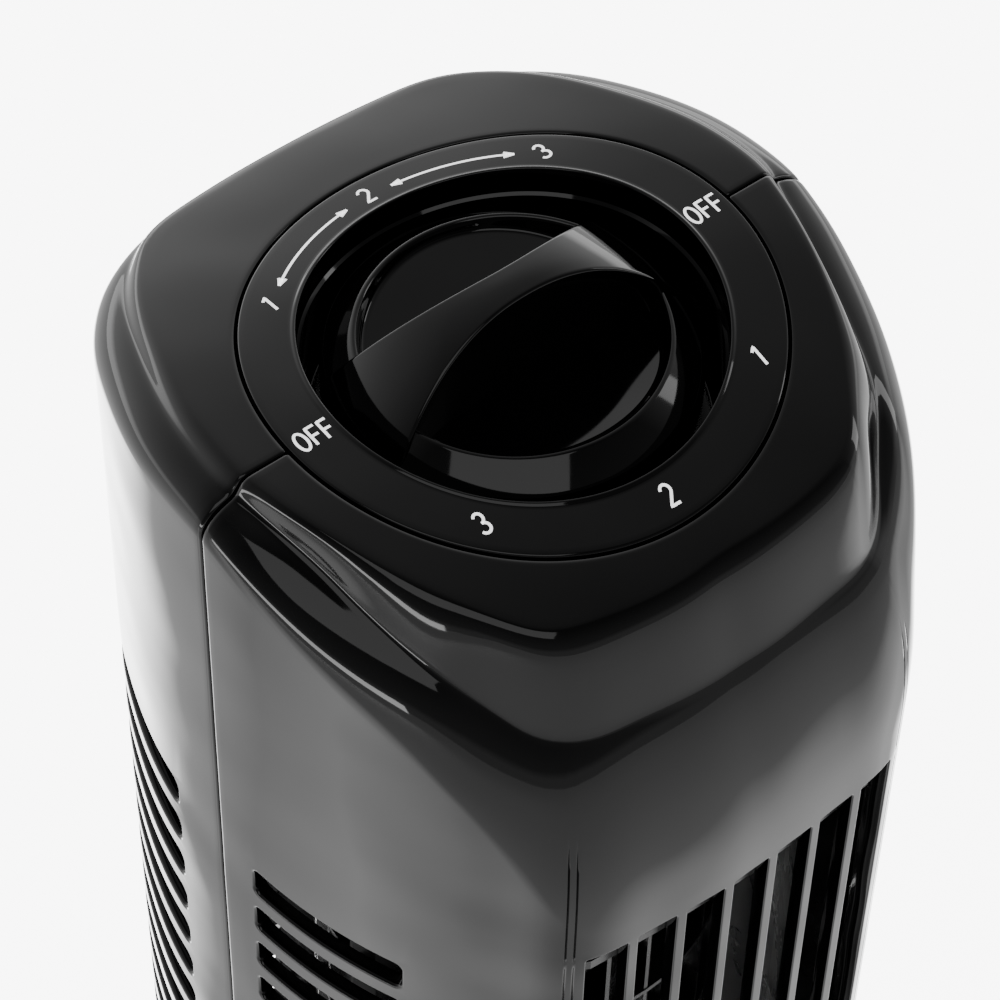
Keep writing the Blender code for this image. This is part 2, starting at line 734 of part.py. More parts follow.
def build_pivot_plate():
    flange = PAD_UNDER - GAP
    plate = turned("pivot_plate", [
        (POST_RADIUS, HUB_TOP + 16), (POST_RADIUS, HUB_TOP), (HUB_RADIUS, HUB_TOP), (HUB_RADIUS, flange),
        (FLANGE_RADIUS, flange), (FLANGE_RADIUS, flange - FLANGE_THICK), (HUB_RADIUS - 3, flange - FLANGE_THICK),
        (HUB_RADIUS - 3, HUB_TOP - 3), (POST_BORE, HUB_TOP - 3), (POST_BORE, HUB_TOP + 16),
    ], satin_black, steps=28)
    apply_modifiers(plate)
    near = math.hypot(CRANK_CENTRE, CRANK_THROW) - CRANK_PIN - 0.6
    far = CRANK_CENTRE + CRANK_THROW + CRANK_PIN + 0.6
    half = CRANK_PIN + 0.8
    cut(plate, boxes("crank_slot", [((-half, -far, HUB_TOP - 5), (half, -near, HUB_TOP + 2))]))
    builder = bmesh.new()
    for x, y in BASE_SCREWS:
        add_rod(builder, (x, y), SCREW_SHANK + GAP, flange - 10, flange + 2, 8)
    cut(plate, from_bmesh(builder, "flange_holes", cutter=True))
    return plate


def build_swivel():
    turned("glide_ring", [
        (52.0, GLIDE_TOP), (52.0, BASE_HEIGHT + GAP), (42.0, BASE_HEIGHT + GAP), (42.0, GLIDE_TOP),
    ], white_plastic, steps=28)
    washer = FLOOR_Z + FLOOR_THICK + GAP
    turned("retaining_washer", [
        (13.0, washer + 1.5), (13.0, washer), (POST_RADIUS + GAP, washer), (POST_RADIUS + GAP, washer + 1.5),
    ], zinc_steel, steps=16)
    nut = washer + 1.5 + GAP
    turned("retaining_nut", [
        (13.0, nut + 5), (13.0, nut), (POST_RADIUS + GAP * 2, nut), (POST_RADIUS + GAP * 2, nut + 5),
    ], zinc_steel, steps=12)


SWING_MOTOR_Z = 62.0
BRACKET_Z = 84.0
BRACKET_THICK = 2.5


def add_posts(builder, places, radius, low, high):
    for x, y in places:
        add_rod(builder, (x, y), radius, low, high, 10)


def build_tower_floor():
    floor = outline_plate("tower_floor", body_outline(WALL + 0.5), FLOOR_Z, FLOOR_Z + FLOOR_THICK, satin_black)
    glide = turned("floor_rim", [
        (51.0, FLOOR_Z + 1), (51.0, GLIDE_TOP + GAP), (43.0, GLIDE_TOP + GAP), (43.0, FLOOR_Z + 1),
    ], None, steps=28, cutter=True)
    join(floor, glide)
    builder = bmesh.new()
    swing_posts = [(side * 20.0, -CRANK_CENTRE) for side in (-1, 1)]
    add_posts(builder, swing_posts, 3.5, FLOOR_Z + 1, SWING_MOTOR_Z - GAP)
    add_posts(builder, bracket_posts(), 4.0, FLOOR_Z + 1, BRACKET_Z - GAP)
    join(floor, from_bmesh(builder, "floor_posts", cutter=True))
    builder = bmesh.new()
    add_rod(builder, (0, 0), POST_RADIUS + 0.4, 0, FLOOR_Z + 10, 24)
    add_rod(builder, (0, -CRANK_CENTRE), SHAFT_RADIUS + 0.4, 0, FLOOR_Z + 10, 12)
    cut(floor, from_bmesh(builder, "floor_holes", cutter=True))
    return floor


def bracket_posts():
    return [(sx * (half_width - 17), sy * 30.0) for sx in (-1, 1) for sy in (-1, 1)]


def build_crank():
    """Swing motor above the floor, and the crank under it whose pin rides in the fixed slot."""
    motor = turned("swing_motor", [
        (0.0, SWING_MOTOR_Z + 16), (25.0, SWING_MOTOR_Z + 16), (25.0, SWING_MOTOR_Z),
        (SHAFT_RADIUS + 0.4, SWING_MOTOR_Z), (SHAFT_RADIUS + 0.4, SWING_MOTOR_Z + 6), (0.0, SWING_MOTOR_Z + 6),
    ], zinc_steel, steps=20, closed=False, centre=(0.0, -CRANK_CENTRE))
    arm_low, arm_high = HUB_TOP + 0.6, FLOOR_Z - 0.6
    arm = rod("crank_arm", (0, 0), SHAFT_RADIUS, arm_low, SWING_MOTOR_Z + 5, bright_steel, False, 14)
    arm.location = (0.0, -CRANK_CENTRE * MM, 0.0)
    pin = CRANK_CENTRE + CRANK_THROW
    web = boxes("crank_web", [((-4.0, -pin - 4.0, arm_low), (4.0, -CRANK_CENTRE, arm_high))])
    stud = rod("crank_pin", (0, -pin), CRANK_PIN, HUB_TOP - 2.5, arm_low + 1, sides=12)
    join(arm, web, stud)
    return motor


build_base()
build_cord_gland()
build_pivot_plate()
build_swivel()
build_tower_floor()
build_crank()


# ---------------------------------------------------------------- motor and impeller

COVER_HEIGHT = 13.0
STATOR_Z = MOTOR_BASE + COVER_HEIGHT + GAP
UPPER_COVER_Z = STATOR_Z + STATOR_HEIGHT + GAP
HARNESS_AT = (-47.0, 47.0)
HARNESS_RADIUS = 3.0
DUCT_LOW = 147.0
DUCT_HIGH = 642.0
PLATE_THICK = 2.5


def build_motor():
    centre = (0.0, FAN_Y)
    r = MOTOR_RADIUS
    low = MOTOR_BASE
    turned("motor_lower_cover", [
        (0.0, low + 2), (r - 2.5, low + 2), (r - 2.5, low + COVER_HEIGHT), (r, low + COVER_HEIGHT), (r, low), (0.0, low),
    ], aluminium, steps=24, closed=False, centre=centre)
    turned("motor_stator", [
        (r, STATOR_Z + STATOR_HEIGHT), (r, STATOR_Z), (23.0, STATOR_Z), (23.0, STATOR_Z + STATOR_HEIGHT),
    ], bright_steel, steps=24, centre=centre)
    high = UPPER_COVER_Z + COVER_HEIGHT
    bore = SHAFT_RADIUS + 0.5
    turned("motor_upper_cover", [
        (r, high), (r, UPPER_COVER_Z), (r - 2.5, UPPER_COVER_Z), (r - 2.5, high - 2.5), (bore, high - 2.5), (bore, high),
    ], aluminium, steps=24, centre=centre)
    for name, z in (("coil_lower", STATOR_Z - GAP - 8), ("coil_upper", STATOR_Z + STATOR_HEIGHT + GAP)):
        turned(name, [
            (34.0, z + 7), (34.0, z + 1), (25.0, z + 1), (25.0, z + 7),
        ], copper_wire, steps=18, centre=centre)
    turned("motor_rotor", [
        (22.4, STATOR_Z + STATOR_HEIGHT + 2), (22.4, STATOR_Z - 2), (SHAFT_RADIUS + GAP, STATOR_Z - 2),
        (SHAFT_RADIUS + GAP, STATOR_Z + STATOR_HEIGHT + 2),
    ], aluminium, steps=20, centre=centre)
    turned("motor_shaft", [
        (0.0, FAN_BOTTOM + 8), (SHAFT_RADIUS, FAN_BOTTOM + 8), (SHAFT_RADIUS, low + 2.5), (0.0, low + 2.5),
    ], bright_steel, steps=14, closed=False, centre=centre)
    for side, name in ((-1, "rubber_mount_left"), (1, "rubber_mount_right")):
        top = BRACKET_Z + BRACKET_THICK
        turned(name, [
            (0.0, low - GAP), (5.0, low - GAP), (6.5, (low + top) / 2), (5.0, top + GAP), (0.0, top + GAP),
        ], rubber_black, steps=14, closed=False, centre=(side * 26.0, FAN_Y))


def build_bracket():
    top = BRACKET_Z + BRACKET_THICK
    bracket = outline_plate("motor_bracket", body_outline(WALL + 0.8), BRACKET_Z, top, zinc_steel)
    cut(bracket, harness_hole("bracket_harness_hole"))
    wall = half_width - WALL
    boxes("run_capacitor", [((-wall + 4, FAN_Y - 18, top + GAP), (-wall + 18, FAN_Y + 18, top + 28))], white_plastic, False)
    boxes("terminal_block", [((wall - 16, FAN_Y - 20, top + GAP), (wall - 5, FAN_Y + 20, top + 14))], white_plastic, False)


def harness_hole(name):
    return rod(name, HARNESS_AT, HARNESS_RADIUS + 1.5, 50.0, CROWN_TOP - 70, sides=12)


def impeller_levels():
    return np.linspace(FAN_BOTTOM, FAN_TOP - DISC_THICK, 4)


def build_impeller():
    """Discs and rings joined by tilted blades, one piece with a hub at its lower end."""
    builder = bmesh.new()
    levels = impeller_levels()
    for z in levels:
        add_rod(builder, (0, 0), FAN_RADIUS, z, z + DISC_THICK, 20)
    impeller = from_bmesh(builder, "impeller", duct_black)
    impeller.parent = fan_axis
    builder = bmesh.new()
    for z in levels[1:-1]:
        add_rod(builder, (0, 0), FAN_RADIUS - BLADE_DEPTH, z - 1, z + DISC_THICK + 1, 14)
    add_rod(builder, (0, 0), 3.3, FAN_TOP - DISC_THICK - 1, FAN_TOP + 1, 10)
    eyes = from_bmesh(builder, "impeller_eyes", cutter=True)
    eyes.parent = fan_axis
    cut(impeller, eyes)
    builder = bmesh.new()
    tilt = math.radians(25)
    for k in range(BLADE_COUNT):
        turn = Matrix.Rotation(2 * math.pi * k / BLADE_COUNT, 4, "Z")
        middle = FAN_RADIUS - BLADE_DEPTH / 2
        size = (BLADE_DEPTH - 1.0, BLADE_THICK, FAN_TOP - FAN_BOTTOM - DISC_THICK)
        middle_z = (FAN_TOP + FAN_BOTTOM) / 2
        matrix = turn @ Matrix.Translation((middle, 0, middle_z)) @ Matrix.Rotation(tilt, 4, "Z")
        bmesh.ops.create_cube(builder, size=1.0, matrix=matrix @ Matrix.Diagonal((*size, 1.0)))
    blades = from_bmesh(builder, "impeller_blades", cutter=True)
    blades.parent = fan_axis
    hub = rod("impeller_hub", (0, 0), 10.0, FAN_BOTTOM - 1, FAN_BOTTOM + 14, sides=18)
    bore = rod("impeller_bore", (0, 0), SHAFT_RADIUS + GAP, FAN_BOTTOM - 5, FAN_BOTTOM + 9, sides=14)
    hub.parent = fan_axis
    bore.parent = fan_axis
    join(impeller, blades, hub)
    cut(impeller, bore)
    turned("impeller_pin", [
        (0.0, DUCT_HIGH + 7), (3.0, DUCT_HIGH + 7), (3.0, FAN_TOP - DISC_THICK), (0.0, FAN_TOP - DISC_THICK),
    ], bright_steel, steps=10, closed=False, centre=(0.0, FAN_Y))


def build_duct():
    inset = WALL + 0.8
    plates = (("duct_bottom_plate", DUCT_LOW - PLATE_THICK, SHAFT_RADIUS + 8), ("duct_top_plate", DUCT_HIGH, 10.0))
    for name, low, radius in plates:
        plate = outline_plate(name, body_outline(inset), low, low + PLATE_THICK, duct_black)
        cut(plate, harness_hole(name + "_harness_hole"))
        cut(plate, rod(name + "_hole", (0, FAN_Y), radius, low - 5, low + 10, sides=20))
    low, high = DUCT_LOW + GAP, DUCT_HIGH - GAP
    mouth = -half_depth + WALL + 8.0
    start, end = math.radians(20), math.radians(-72)
    turns = np.linspace(0, 1, 9)
    spiral = []
    for t in turns:
        angle = start + (end - start) * t
        radius = FAN_RADIUS + 3 + 16 * t
        spiral.append((radius * math.cos(angle), FAN_Y + radius * math.sin(angle)))
    spiral = [p for p in spiral if p[0] > OPENING_WIDTH / 2 + 1] + [(OPENING_WIDTH / 2 + 1, mouth)]
    outer = [(x + 1.5, y) for x, y in spiral]
    outline_plate("scroll_duct", spiral + outer[::-1], low, high, duct_black)
    left = -OPENING_WIDTH / 2 - 1
    nose = FAN_Y - 22.0
    tongue = [(left, mouth), (left, nose - 8), (left - 4, nose), (left - 12, nose + 4)]
    outer = [(x - 1.2, y - 1.5) for x, y in tongue]
    outline_plate("tongue_duct", tongue + outer[::-1], low, high, duct_black)
    top = DUCT_HIGH + PLATE_THICK
    turned("bearing_rubber", [
        (13.0, top + 3), (13.0, top + GAP), (9.6, top + GAP), (9.6, DUCT_HIGH - 1.5), (6.3, DUCT_HIGH - 1.5),
        (6.3, top + 3),
    ], rubber_black, steps=16, centre=(0.0, FAN_Y))
    turned("top_bearing", [
        (6.0, top + 2), (6.0, DUCT_HIGH - 1), (3.4, DUCT_HIGH - 1), (3.4, top + 2),
    ], bright_steel, steps=16, centre=(0.0, FAN_Y))


def build_harness():
    """Wire bundle from over the swivel post to the rotary switch, up the rear left corner."""
    x, y = HARNESS_AT
    top = SWITCH_TOP - SWITCH_HEIGHT / 2
    route = [
        (0, 4, 55.5), (0, 14, 55.5), (-14, 30, 57), (-36, 43, 63), (x, y, 76), (x, y, 110), (x, y, 640),
        (x, y, 655), (x + 8, y - 8, top - 8), (-28, 20, top), (-17.5, 8, top),
    ]
    curve = bpy.data.curves.new("wiring_harness", "CURVE")
    curve.dimensions = "3D"
    curve.bevel_depth = HARNESS_RADIUS * MM
    curve.bevel_resolution = 1
    curve.use_fill_caps = True
    spline = curve.splines.new("POLY")
    spline.points.add(len(route) - 1)
    for point, place_at in zip(spline.points, route):
        point.co = (*(v * MM for v in place_at), 1.0)
    harness = bpy.data.objects.new("wiring_harness", curve)
    fan_parts.objects.link(harness)
    curve.materials.append(rubber_black)


build_motor()
build_bracket()
build_impeller()
build_duct()
build_harness()
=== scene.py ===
"""Looks of the oscillating tower fan: glossy shells, printed dial, knob, grille and impeller round the CAD frame.

Lengths are in millimetres until MM turns them into metres. +Z is up and the outlet grille faces -Y.
Azimuths run from 0 at the middle of the front to 180 at the middle of the rear, positive on the +X side.
"""

import bisect
import math

import bmesh
import bpy
import numpy as np
from mathutils import Matrix, Vector


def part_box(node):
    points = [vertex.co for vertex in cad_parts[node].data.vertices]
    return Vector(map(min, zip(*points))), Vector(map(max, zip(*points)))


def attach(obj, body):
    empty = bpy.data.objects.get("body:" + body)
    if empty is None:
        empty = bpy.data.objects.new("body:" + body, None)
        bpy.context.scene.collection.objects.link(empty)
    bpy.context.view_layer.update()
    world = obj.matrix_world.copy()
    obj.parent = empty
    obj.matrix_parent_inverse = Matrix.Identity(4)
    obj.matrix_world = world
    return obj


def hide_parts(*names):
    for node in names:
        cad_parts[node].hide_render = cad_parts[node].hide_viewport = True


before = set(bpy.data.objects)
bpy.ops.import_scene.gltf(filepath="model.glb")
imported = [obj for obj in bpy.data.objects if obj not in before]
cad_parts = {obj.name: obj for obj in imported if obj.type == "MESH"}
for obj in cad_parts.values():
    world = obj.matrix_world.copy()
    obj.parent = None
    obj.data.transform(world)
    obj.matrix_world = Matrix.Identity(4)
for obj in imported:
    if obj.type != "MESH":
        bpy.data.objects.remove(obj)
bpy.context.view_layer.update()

MM = 0.001


# ---------------------------------------------------------------- sizes, read from the CAD frame

def box_mm(node):
    low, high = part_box(node)
    return np.array(low) / MM, np.array(high) / MM


front_low, front_high = box_mm("front_shell")
rear_low, rear_high = box_mm("rear_shell")
ring_low, ring_high = box_mm("dial_ring")
knob_low, knob_high = box_mm("speed_knob")
wheel_low, wheel_high = box_mm("impeller")
base_low, base_high = box_mm("base_front_half")

HALF_WIDTH = rear_high[0]
HALF_DEPTH = rear_high[1]
CROWN_TOP = front_high[2]
SHELL_BOTTOM = front_low[2]
CROWN_RADIUS = 162.0
DIAL_RADIUS = ring_high[0] - 5.0
DIAL_OPENING = DIAL_RADIUS + 0.4
WELL_RADIUS = 37.8
KNOB_RADIUS = knob_high[0]
SEAM = 0.15
SKIN = 3.0
STEP_DEPTH = 3.0
SHOULDER_DEPTH = 8.5

OPENING_TOP = 650.0
OPENING_BOTTOM = 165.0
OPENING_HALF = 36.0
BAR_COUNT = 6
BAR_WIDTH = 2.3

SLOT_COUNT = 36
SLOT_PITCH = 12.5
SLOT_HEIGHT = 7.7
SLOT_TOP = 634.0
SIDE_SLOT_Y = (-43.0, -9.5)
REAR_SLOT_Y = 15.0
SPINE_HALF = 8.0

# Half outlines from above, as shares of the half width and half depth, front to rear
BODY_OUTLINE = (
    (0.0, -1.0), (0.33, -0.985), (0.54, -0.96), (0.62, -0.92), (0.685, -0.836), (0.80, -0.685),
    (0.93, -0.41), (0.99, -0.137), (1.0, 0.05), (0.985, 0.247), (0.903, 0.52), (0.776, 0.753),
    (0.657, 0.87), (0.478, 0.957), (0.224, 0.993), (0.0, 1.0),
)
PLATEAU_OUTLINE = (
    (0.0, -0.756), (0.37, -0.737), (0.50, -0.70), (0.552, -0.65), (0.627, -0.548), (0.709, -0.418),
    (0.81, -0.192), (0.851, 0.0), (0.84, 0.196), (0.743, 0.493), (0.593, 0.78), (0.487, 0.886),
    (0.30, 0.925), (0.0, 0.942),
)
# Crease at the foot of the brow: share of half width, share of half depth, drop below the crown top
CREASE = (
    (0.0, -0.87, 32.0), (0.30, -0.855, 31.5), (0.49, -0.82, 31.0), (0.572, -0.767, 29.5),
    (0.642, -0.685, 24.5), (0.736, -0.568, 17.3), (0.791, -0.411, 12.3), (0.824, -0.253, 8.2),
    (0.865, -0.10, 5.0), (0.888, 0.0, 3.6),
)
# Height of the shoulder of the side panels: share of half depth, drop below the crown top
SHOULDER_DROP = (
    (-1.0, 82.0), (-0.93, 72.0), (-0.85, 60.0), (-0.78, 49.0), (-0.685, 38.5), (-0.55, 29.5),
    (-0.41, 23.0), (-0.27, 18.0), (-0.14, 13.5), (0.0, 10.0),
)


def crown(y):
    return CROWN_TOP - y * y / (2 * CROWN_RADIUS)


# ---------------------------------------------------------------- casing surface

AZIMUTHS = np.arange(0, 360, 0.1)
TURNS = np.radians(AZIMUTHS)


def hermite(places, values, at):
    """Cubic curve through a table, with slopes from its neighbours."""
    places = np.array(places, float)
    values = np.array(values, float)
    slopes = np.gradient(values, places)
    k = np.clip(np.searchsorted(places, at) - 1, 0, len(places) - 2)
    span = places[k + 1] - places[k]
    t = np.clip((at - places[k]) / span, 0, 1)
    start = (1 + 2 * t) * (1 - t) ** 2 * values[k] + t * (1 - t) ** 2 * span * slopes[k]
    end = t * t * (3 - 2 * t) * values[k + 1] + t * t * (t - 1) * span * slopes[k + 1]
    return start + end


def soften(values, degrees):
    """Gaussian smoothing of a closed ring of samples."""
    waves = np.fft.rfftfreq(len(values), 1.0 / len(values))
    return np.fft.irfft(np.fft.rfft(values) * np.exp(-0.5 * (waves * math.radians(degrees)) ** 2), len(values))


def ring_radius(outline, degrees):
    """Radius at every azimuth of a half outline, mirrored and softened."""
    x = np.array([p[0] for p in outline]) * HALF_WIDTH
    y = np.array([p[1] for p in outline]) * HALF_DEPTH
    angle = np.degrees(np.arctan2(x, -y))
    radius = np.hypot(x, y)
    places = np.concatenate([-angle[:0:-1], angle, 360 - angle[-2::-1]])
    values = np.concatenate([radius[:0:-1], radius, radius[-2::-1]])
    return soften(hermite(places, values, AZIMUTHS), degrees)


BODY = ring_radius(BODY_OUTLINE, 2.2)
PLATEAU = ring_radius(PLATEAU_OUTLINE, 2.5)
FRONT = np.cos(TURNS) >= 0
SIDE = np.minimum(AZIMUTHS, 360 - AZIMUTHS)


def crease_rings():
    x = np.array([p[0] for p in CREASE]) * HALF_WIDTH
    y = np.array([p[1] for p in CREASE]) * HALF_DEPTH
    angle = np.degrees(np.arctan2(x, -y))
    at = np.clip(SIDE, 0, 90)
    front_radius = hermite(angle, np.hypot(x, y), at)
    front_height = CROWN_TOP - hermite(angle, [p[2] for p in CREASE], at)
    rear_radius = PLATEAU + 0.35 * (BODY - PLATEAU)
    rear_height = crown(rear_radius * np.cos(TURNS)) - STEP_DEPTH
    radius = np.where(FRONT, front_radius, rear_radius)
    height = np.where(FRONT, front_height, rear_height)
    return soften(radius, 2.0), soften(height, 2.0)


def shoulder_ring():
    y = -BODY * np.cos(TURNS)
    places = [p * HALF_DEPTH for p, _ in SHOULDER_DROP]
    front = CROWN_TOP - hermite(places, [d for _, d in SHOULDER_DROP], np.clip(y, places[0], 0))
    rear = crown(y) - SHOULDER_DEPTH - STEP_DEPTH / 2
    return soften(np.where(FRONT, front, rear), 2.0)


CREASE_RADIUS, CREASE_HEIGHT = crease_rings()
SHOULDER = shoulder_ring()
COLLAR = OPENING_TOP + 1.5

WALL_X = BODY * np.sin(TURNS)
WALL_Y = -BODY * np.cos(TURNS)
STEPS = np.hypot(np.roll(WALL_X, -1) - WALL_X, np.roll(WALL_Y, -1) - WALL_Y)
ARC = np.concatenate([[0], np.cumsum(STEPS)])
GIRTH = ARC[-1]
ARC = ARC[:-1]
ARC_LIST = list(ARC)
SLOPE_X = np.roll(WALL_X, -1) - np.roll(WALL_X, 1)
SLOPE_Y = np.roll(WALL_Y, -1) - np.roll(WALL_Y, 1)
SLOPE = np.hypot(SLOPE_X, SLOPE_Y)
NORMAL_X = soften(SLOPE_Y / SLOPE, 1.0)
NORMAL_Y = soften(-SLOPE_X / SLOPE, 1.0)


def around(table, arc):
    """A ring table read at a distance round the wall from the middle of the front."""
    arc %= GIRTH
    k = bisect.bisect_right(ARC_LIST, arc) - 1
    n = (k + 1) % len(ARC_LIST)
    length = (ARC_LIST[n] if n else GIRTH) - ARC_LIST[k]
    share = (arc - ARC_LIST[k]) / length
    return table[k] * (1 - share) + table[n] * share


def arc_at_y(y):
    """Distance round the +X side from the middle of the front to a place at this y."""
    half = SIDE == AZIMUTHS
    return float(np.interp(y, WALL_Y[half], ARC[half]))


def arc_at_x(x, rear=False):
    half = (AZIMUTHS < 40) if not rear else (AZIMUTHS > 140) & (AZIMUTHS <= 180)
    order = np.argsort(WALL_X[half])
    return float(np.interp(x, WALL_X[half][order], ARC[half][order]))


def bezier(points, t):
    t = t[:, None]
    weights = ((1 - t) ** 3, 3 * t * (1 - t) ** 2, 3 * t * t * (1 - t), t ** 3)
    return sum(w * np.array(p)[None, :] for w, p in zip(weights, points))


def spread(count):
    """Shares from 0 to 1, closer together near both ends."""
    return 0.5 * (1 - np.cos(np.pi * np.linspace(0, 1, count)))


ROW_COUNTS = (9, 14, 18, 9)
LIP = ((0.0, 0.7), (0.1, 0.3), (0.35, 0.06))
FILLET = 0.75


def fillet_line(points, places):
    """Points at given distances along a polyline whose corners are rounded off."""
    lengths = np.concatenate([[0], np.cumsum(np.hypot(*np.diff(points, axis=0).T))])
    pitch = 0.2
    at = np.arange(0, lengths[-1], pitch)
    dense = np.stack([np.interp(at, lengths, points[:, k]) for k in (0, 1)], 1)
    reach = int(4 * FILLET / pitch)
    kernel = np.exp(-0.5 * (np.arange(-reach, reach + 1) * pitch / FILLET) ** 2)
    kernel /= kernel.sum()
    before = 2 * dense[0] - dense[reach:0:-1]
    after = 2 * dense[-1] - dense[-2:-reach - 2:-1]
    padded = np.concatenate([before, dense, after])
    smooth = np.stack([np.convolve(padded[:, k], kernel, "valid") for k in (0, 1)], 1)
    return np.stack([np.interp(places, at, smooth[:, k]) for k in (0, 1)], 1)


def profile(k):
    """Radius and height of every row of the casing surface at one azimuth, dial opening to collar."""
    cosine = math.cos(TURNS[k])
    inner = DIAL_OPENING + 0.9
    corner = np.array((CREASE_RADIUS[k], CREASE_HEIGHT[k]))
    side = np.array((BODY[k], SHOULDER[k]))
    rim = np.array((PLATEAU[k], crown(PLATEAU[k] * cosine)))
    run = corner[0] - rim[0]
    drop = rim[1] - corner[1]
    fall = corner[1] - side[1]
    wall = [rim, rim + (0.5 * run, -0.04 * drop), corner + (-0.3 * run, 0.5 * drop), corner]
    brow = [corner, corner + (0.55 * (side[0] - corner[0]), -0.12 * fall), side + (0.0, 0.5 * fall), side]
    t = np.linspace(0, 1, 60)
    flat_r = inner + (rim[0] - inner) * t
    parts = [
        np.stack([flat_r, crown(flat_r * cosine)], 1), bezier(wall, t), bezier(brow, t),
        np.stack([np.full(60, side[0]), side[1] + (COLLAR - side[1]) * t], 1),
    ]
    line = np.concatenate([parts[0]] + [p[1:] for p in parts[1:]])
    starts = np.concatenate([[0], np.cumsum([np.hypot(*np.diff(p, axis=0).T).sum() for p in parts])])
    places = [starts[0]]
    for n, count in enumerate(ROW_COUNTS):
        places += list(starts[n] + (starts[n + 1] - starts[n]) * spread(count)[1:])
    rows = fillet_line(line, np.array(places))
    rows[-1] = (side[0], COLLAR)
    lips = [(DIAL_OPENING + out, crown((DIAL_OPENING + out) * cosine) - down) for out, down in LIP]
    return np.concatenate([lips, rows])


COARSE = 5
TABLE_ANGLES = AZIMUTHS[::COARSE]
PROFILES = np.array([profile(k) for k in range(0, len(AZIMUTHS), COARSE)])
ROWS = PROFILES.shape[1]


def surface_table():
    turns = np.radians(TABLE_ANGLES)[:, None]
    r, z = PROFILES[..., 0], PROFILES[..., 1]
    points = np.stack([r * np.sin(turns), -r * np.cos(turns), z], 2)
    across = np.roll(points, -1, 0) - np.roll(points, 1, 0)
    down = np.gradient(points, axis=1)
    normals = np.cross(down, across)
    normals /= np.linalg.norm(normals, axis=2, keepdims=True)
    return points, normals


SURFACE, NORMALS = surface_table()
if NORMALS[0, len(LIP) + 3, 2] < 0:
    NORMALS = -NORMALS

# Way in from the outer to the inner skin, turning from straight down on the crown to level on the walls
LEAN = np.interp(np.arange(ROWS), (0, len(LIP) + ROW_COUNTS[0], ROWS - ROW_COUNTS[3], ROWS - 1), (0, 20, 75, 90))


def upper_point(arc, row, depth, inner):
    """Place on the outer skin above the collar at a depth, or on the inner skin."""
    azimuth = around(AZIMUTHS, arc) if arc % GIRTH < ARC_LIST[-1] else AZIMUTHS[-1]
    place = azimuth / 0.1 / COARSE
    k = int(place) % len(TABLE_ANGLES)
    n = (k + 1) % len(TABLE_ANGLES)
    t = place - int(place)
    point = SURFACE[k, row] * (1 - t) + SURFACE[n, row] * t
    if inner:
        lean = math.radians(LEAN[row])
        turn = math.radians(azimuth)
        way = np.array((math.sin(turn) * math.sin(lean), -math.cos(turn) * math.sin(lean), math.cos(lean)))
        return point - SKIN * way
    normal = NORMALS[k, row] * (1 - t) + NORMALS[n, row] * t
    return point - depth * normal


def wall_point(arc, z, depth):
    return np.array((
        around(WALL_X, arc) - depth * around(NORMAL_X, arc),
        around(WALL_Y, arc) - depth * around(NORMAL_Y, arc), z,
    ))


# ---------------------------------------------------------------- casing mesh

CORNER_LINES = (arc_at_x(OPENING_HALF) + 2.4, arc_at_x(OPENING_HALF) + 4.0)
GROOVE = ((-0.45, 0.0), (-0.2, 0.0), (0.0, 0.3), (0.2, 0.0), (0.45, 0.0))
GROOVE_BREAK = (OPENING_TOP - 1.4, OPENING_TOP + 0.4)
GROOVE_TOP = CROWN_TOP - 50.0


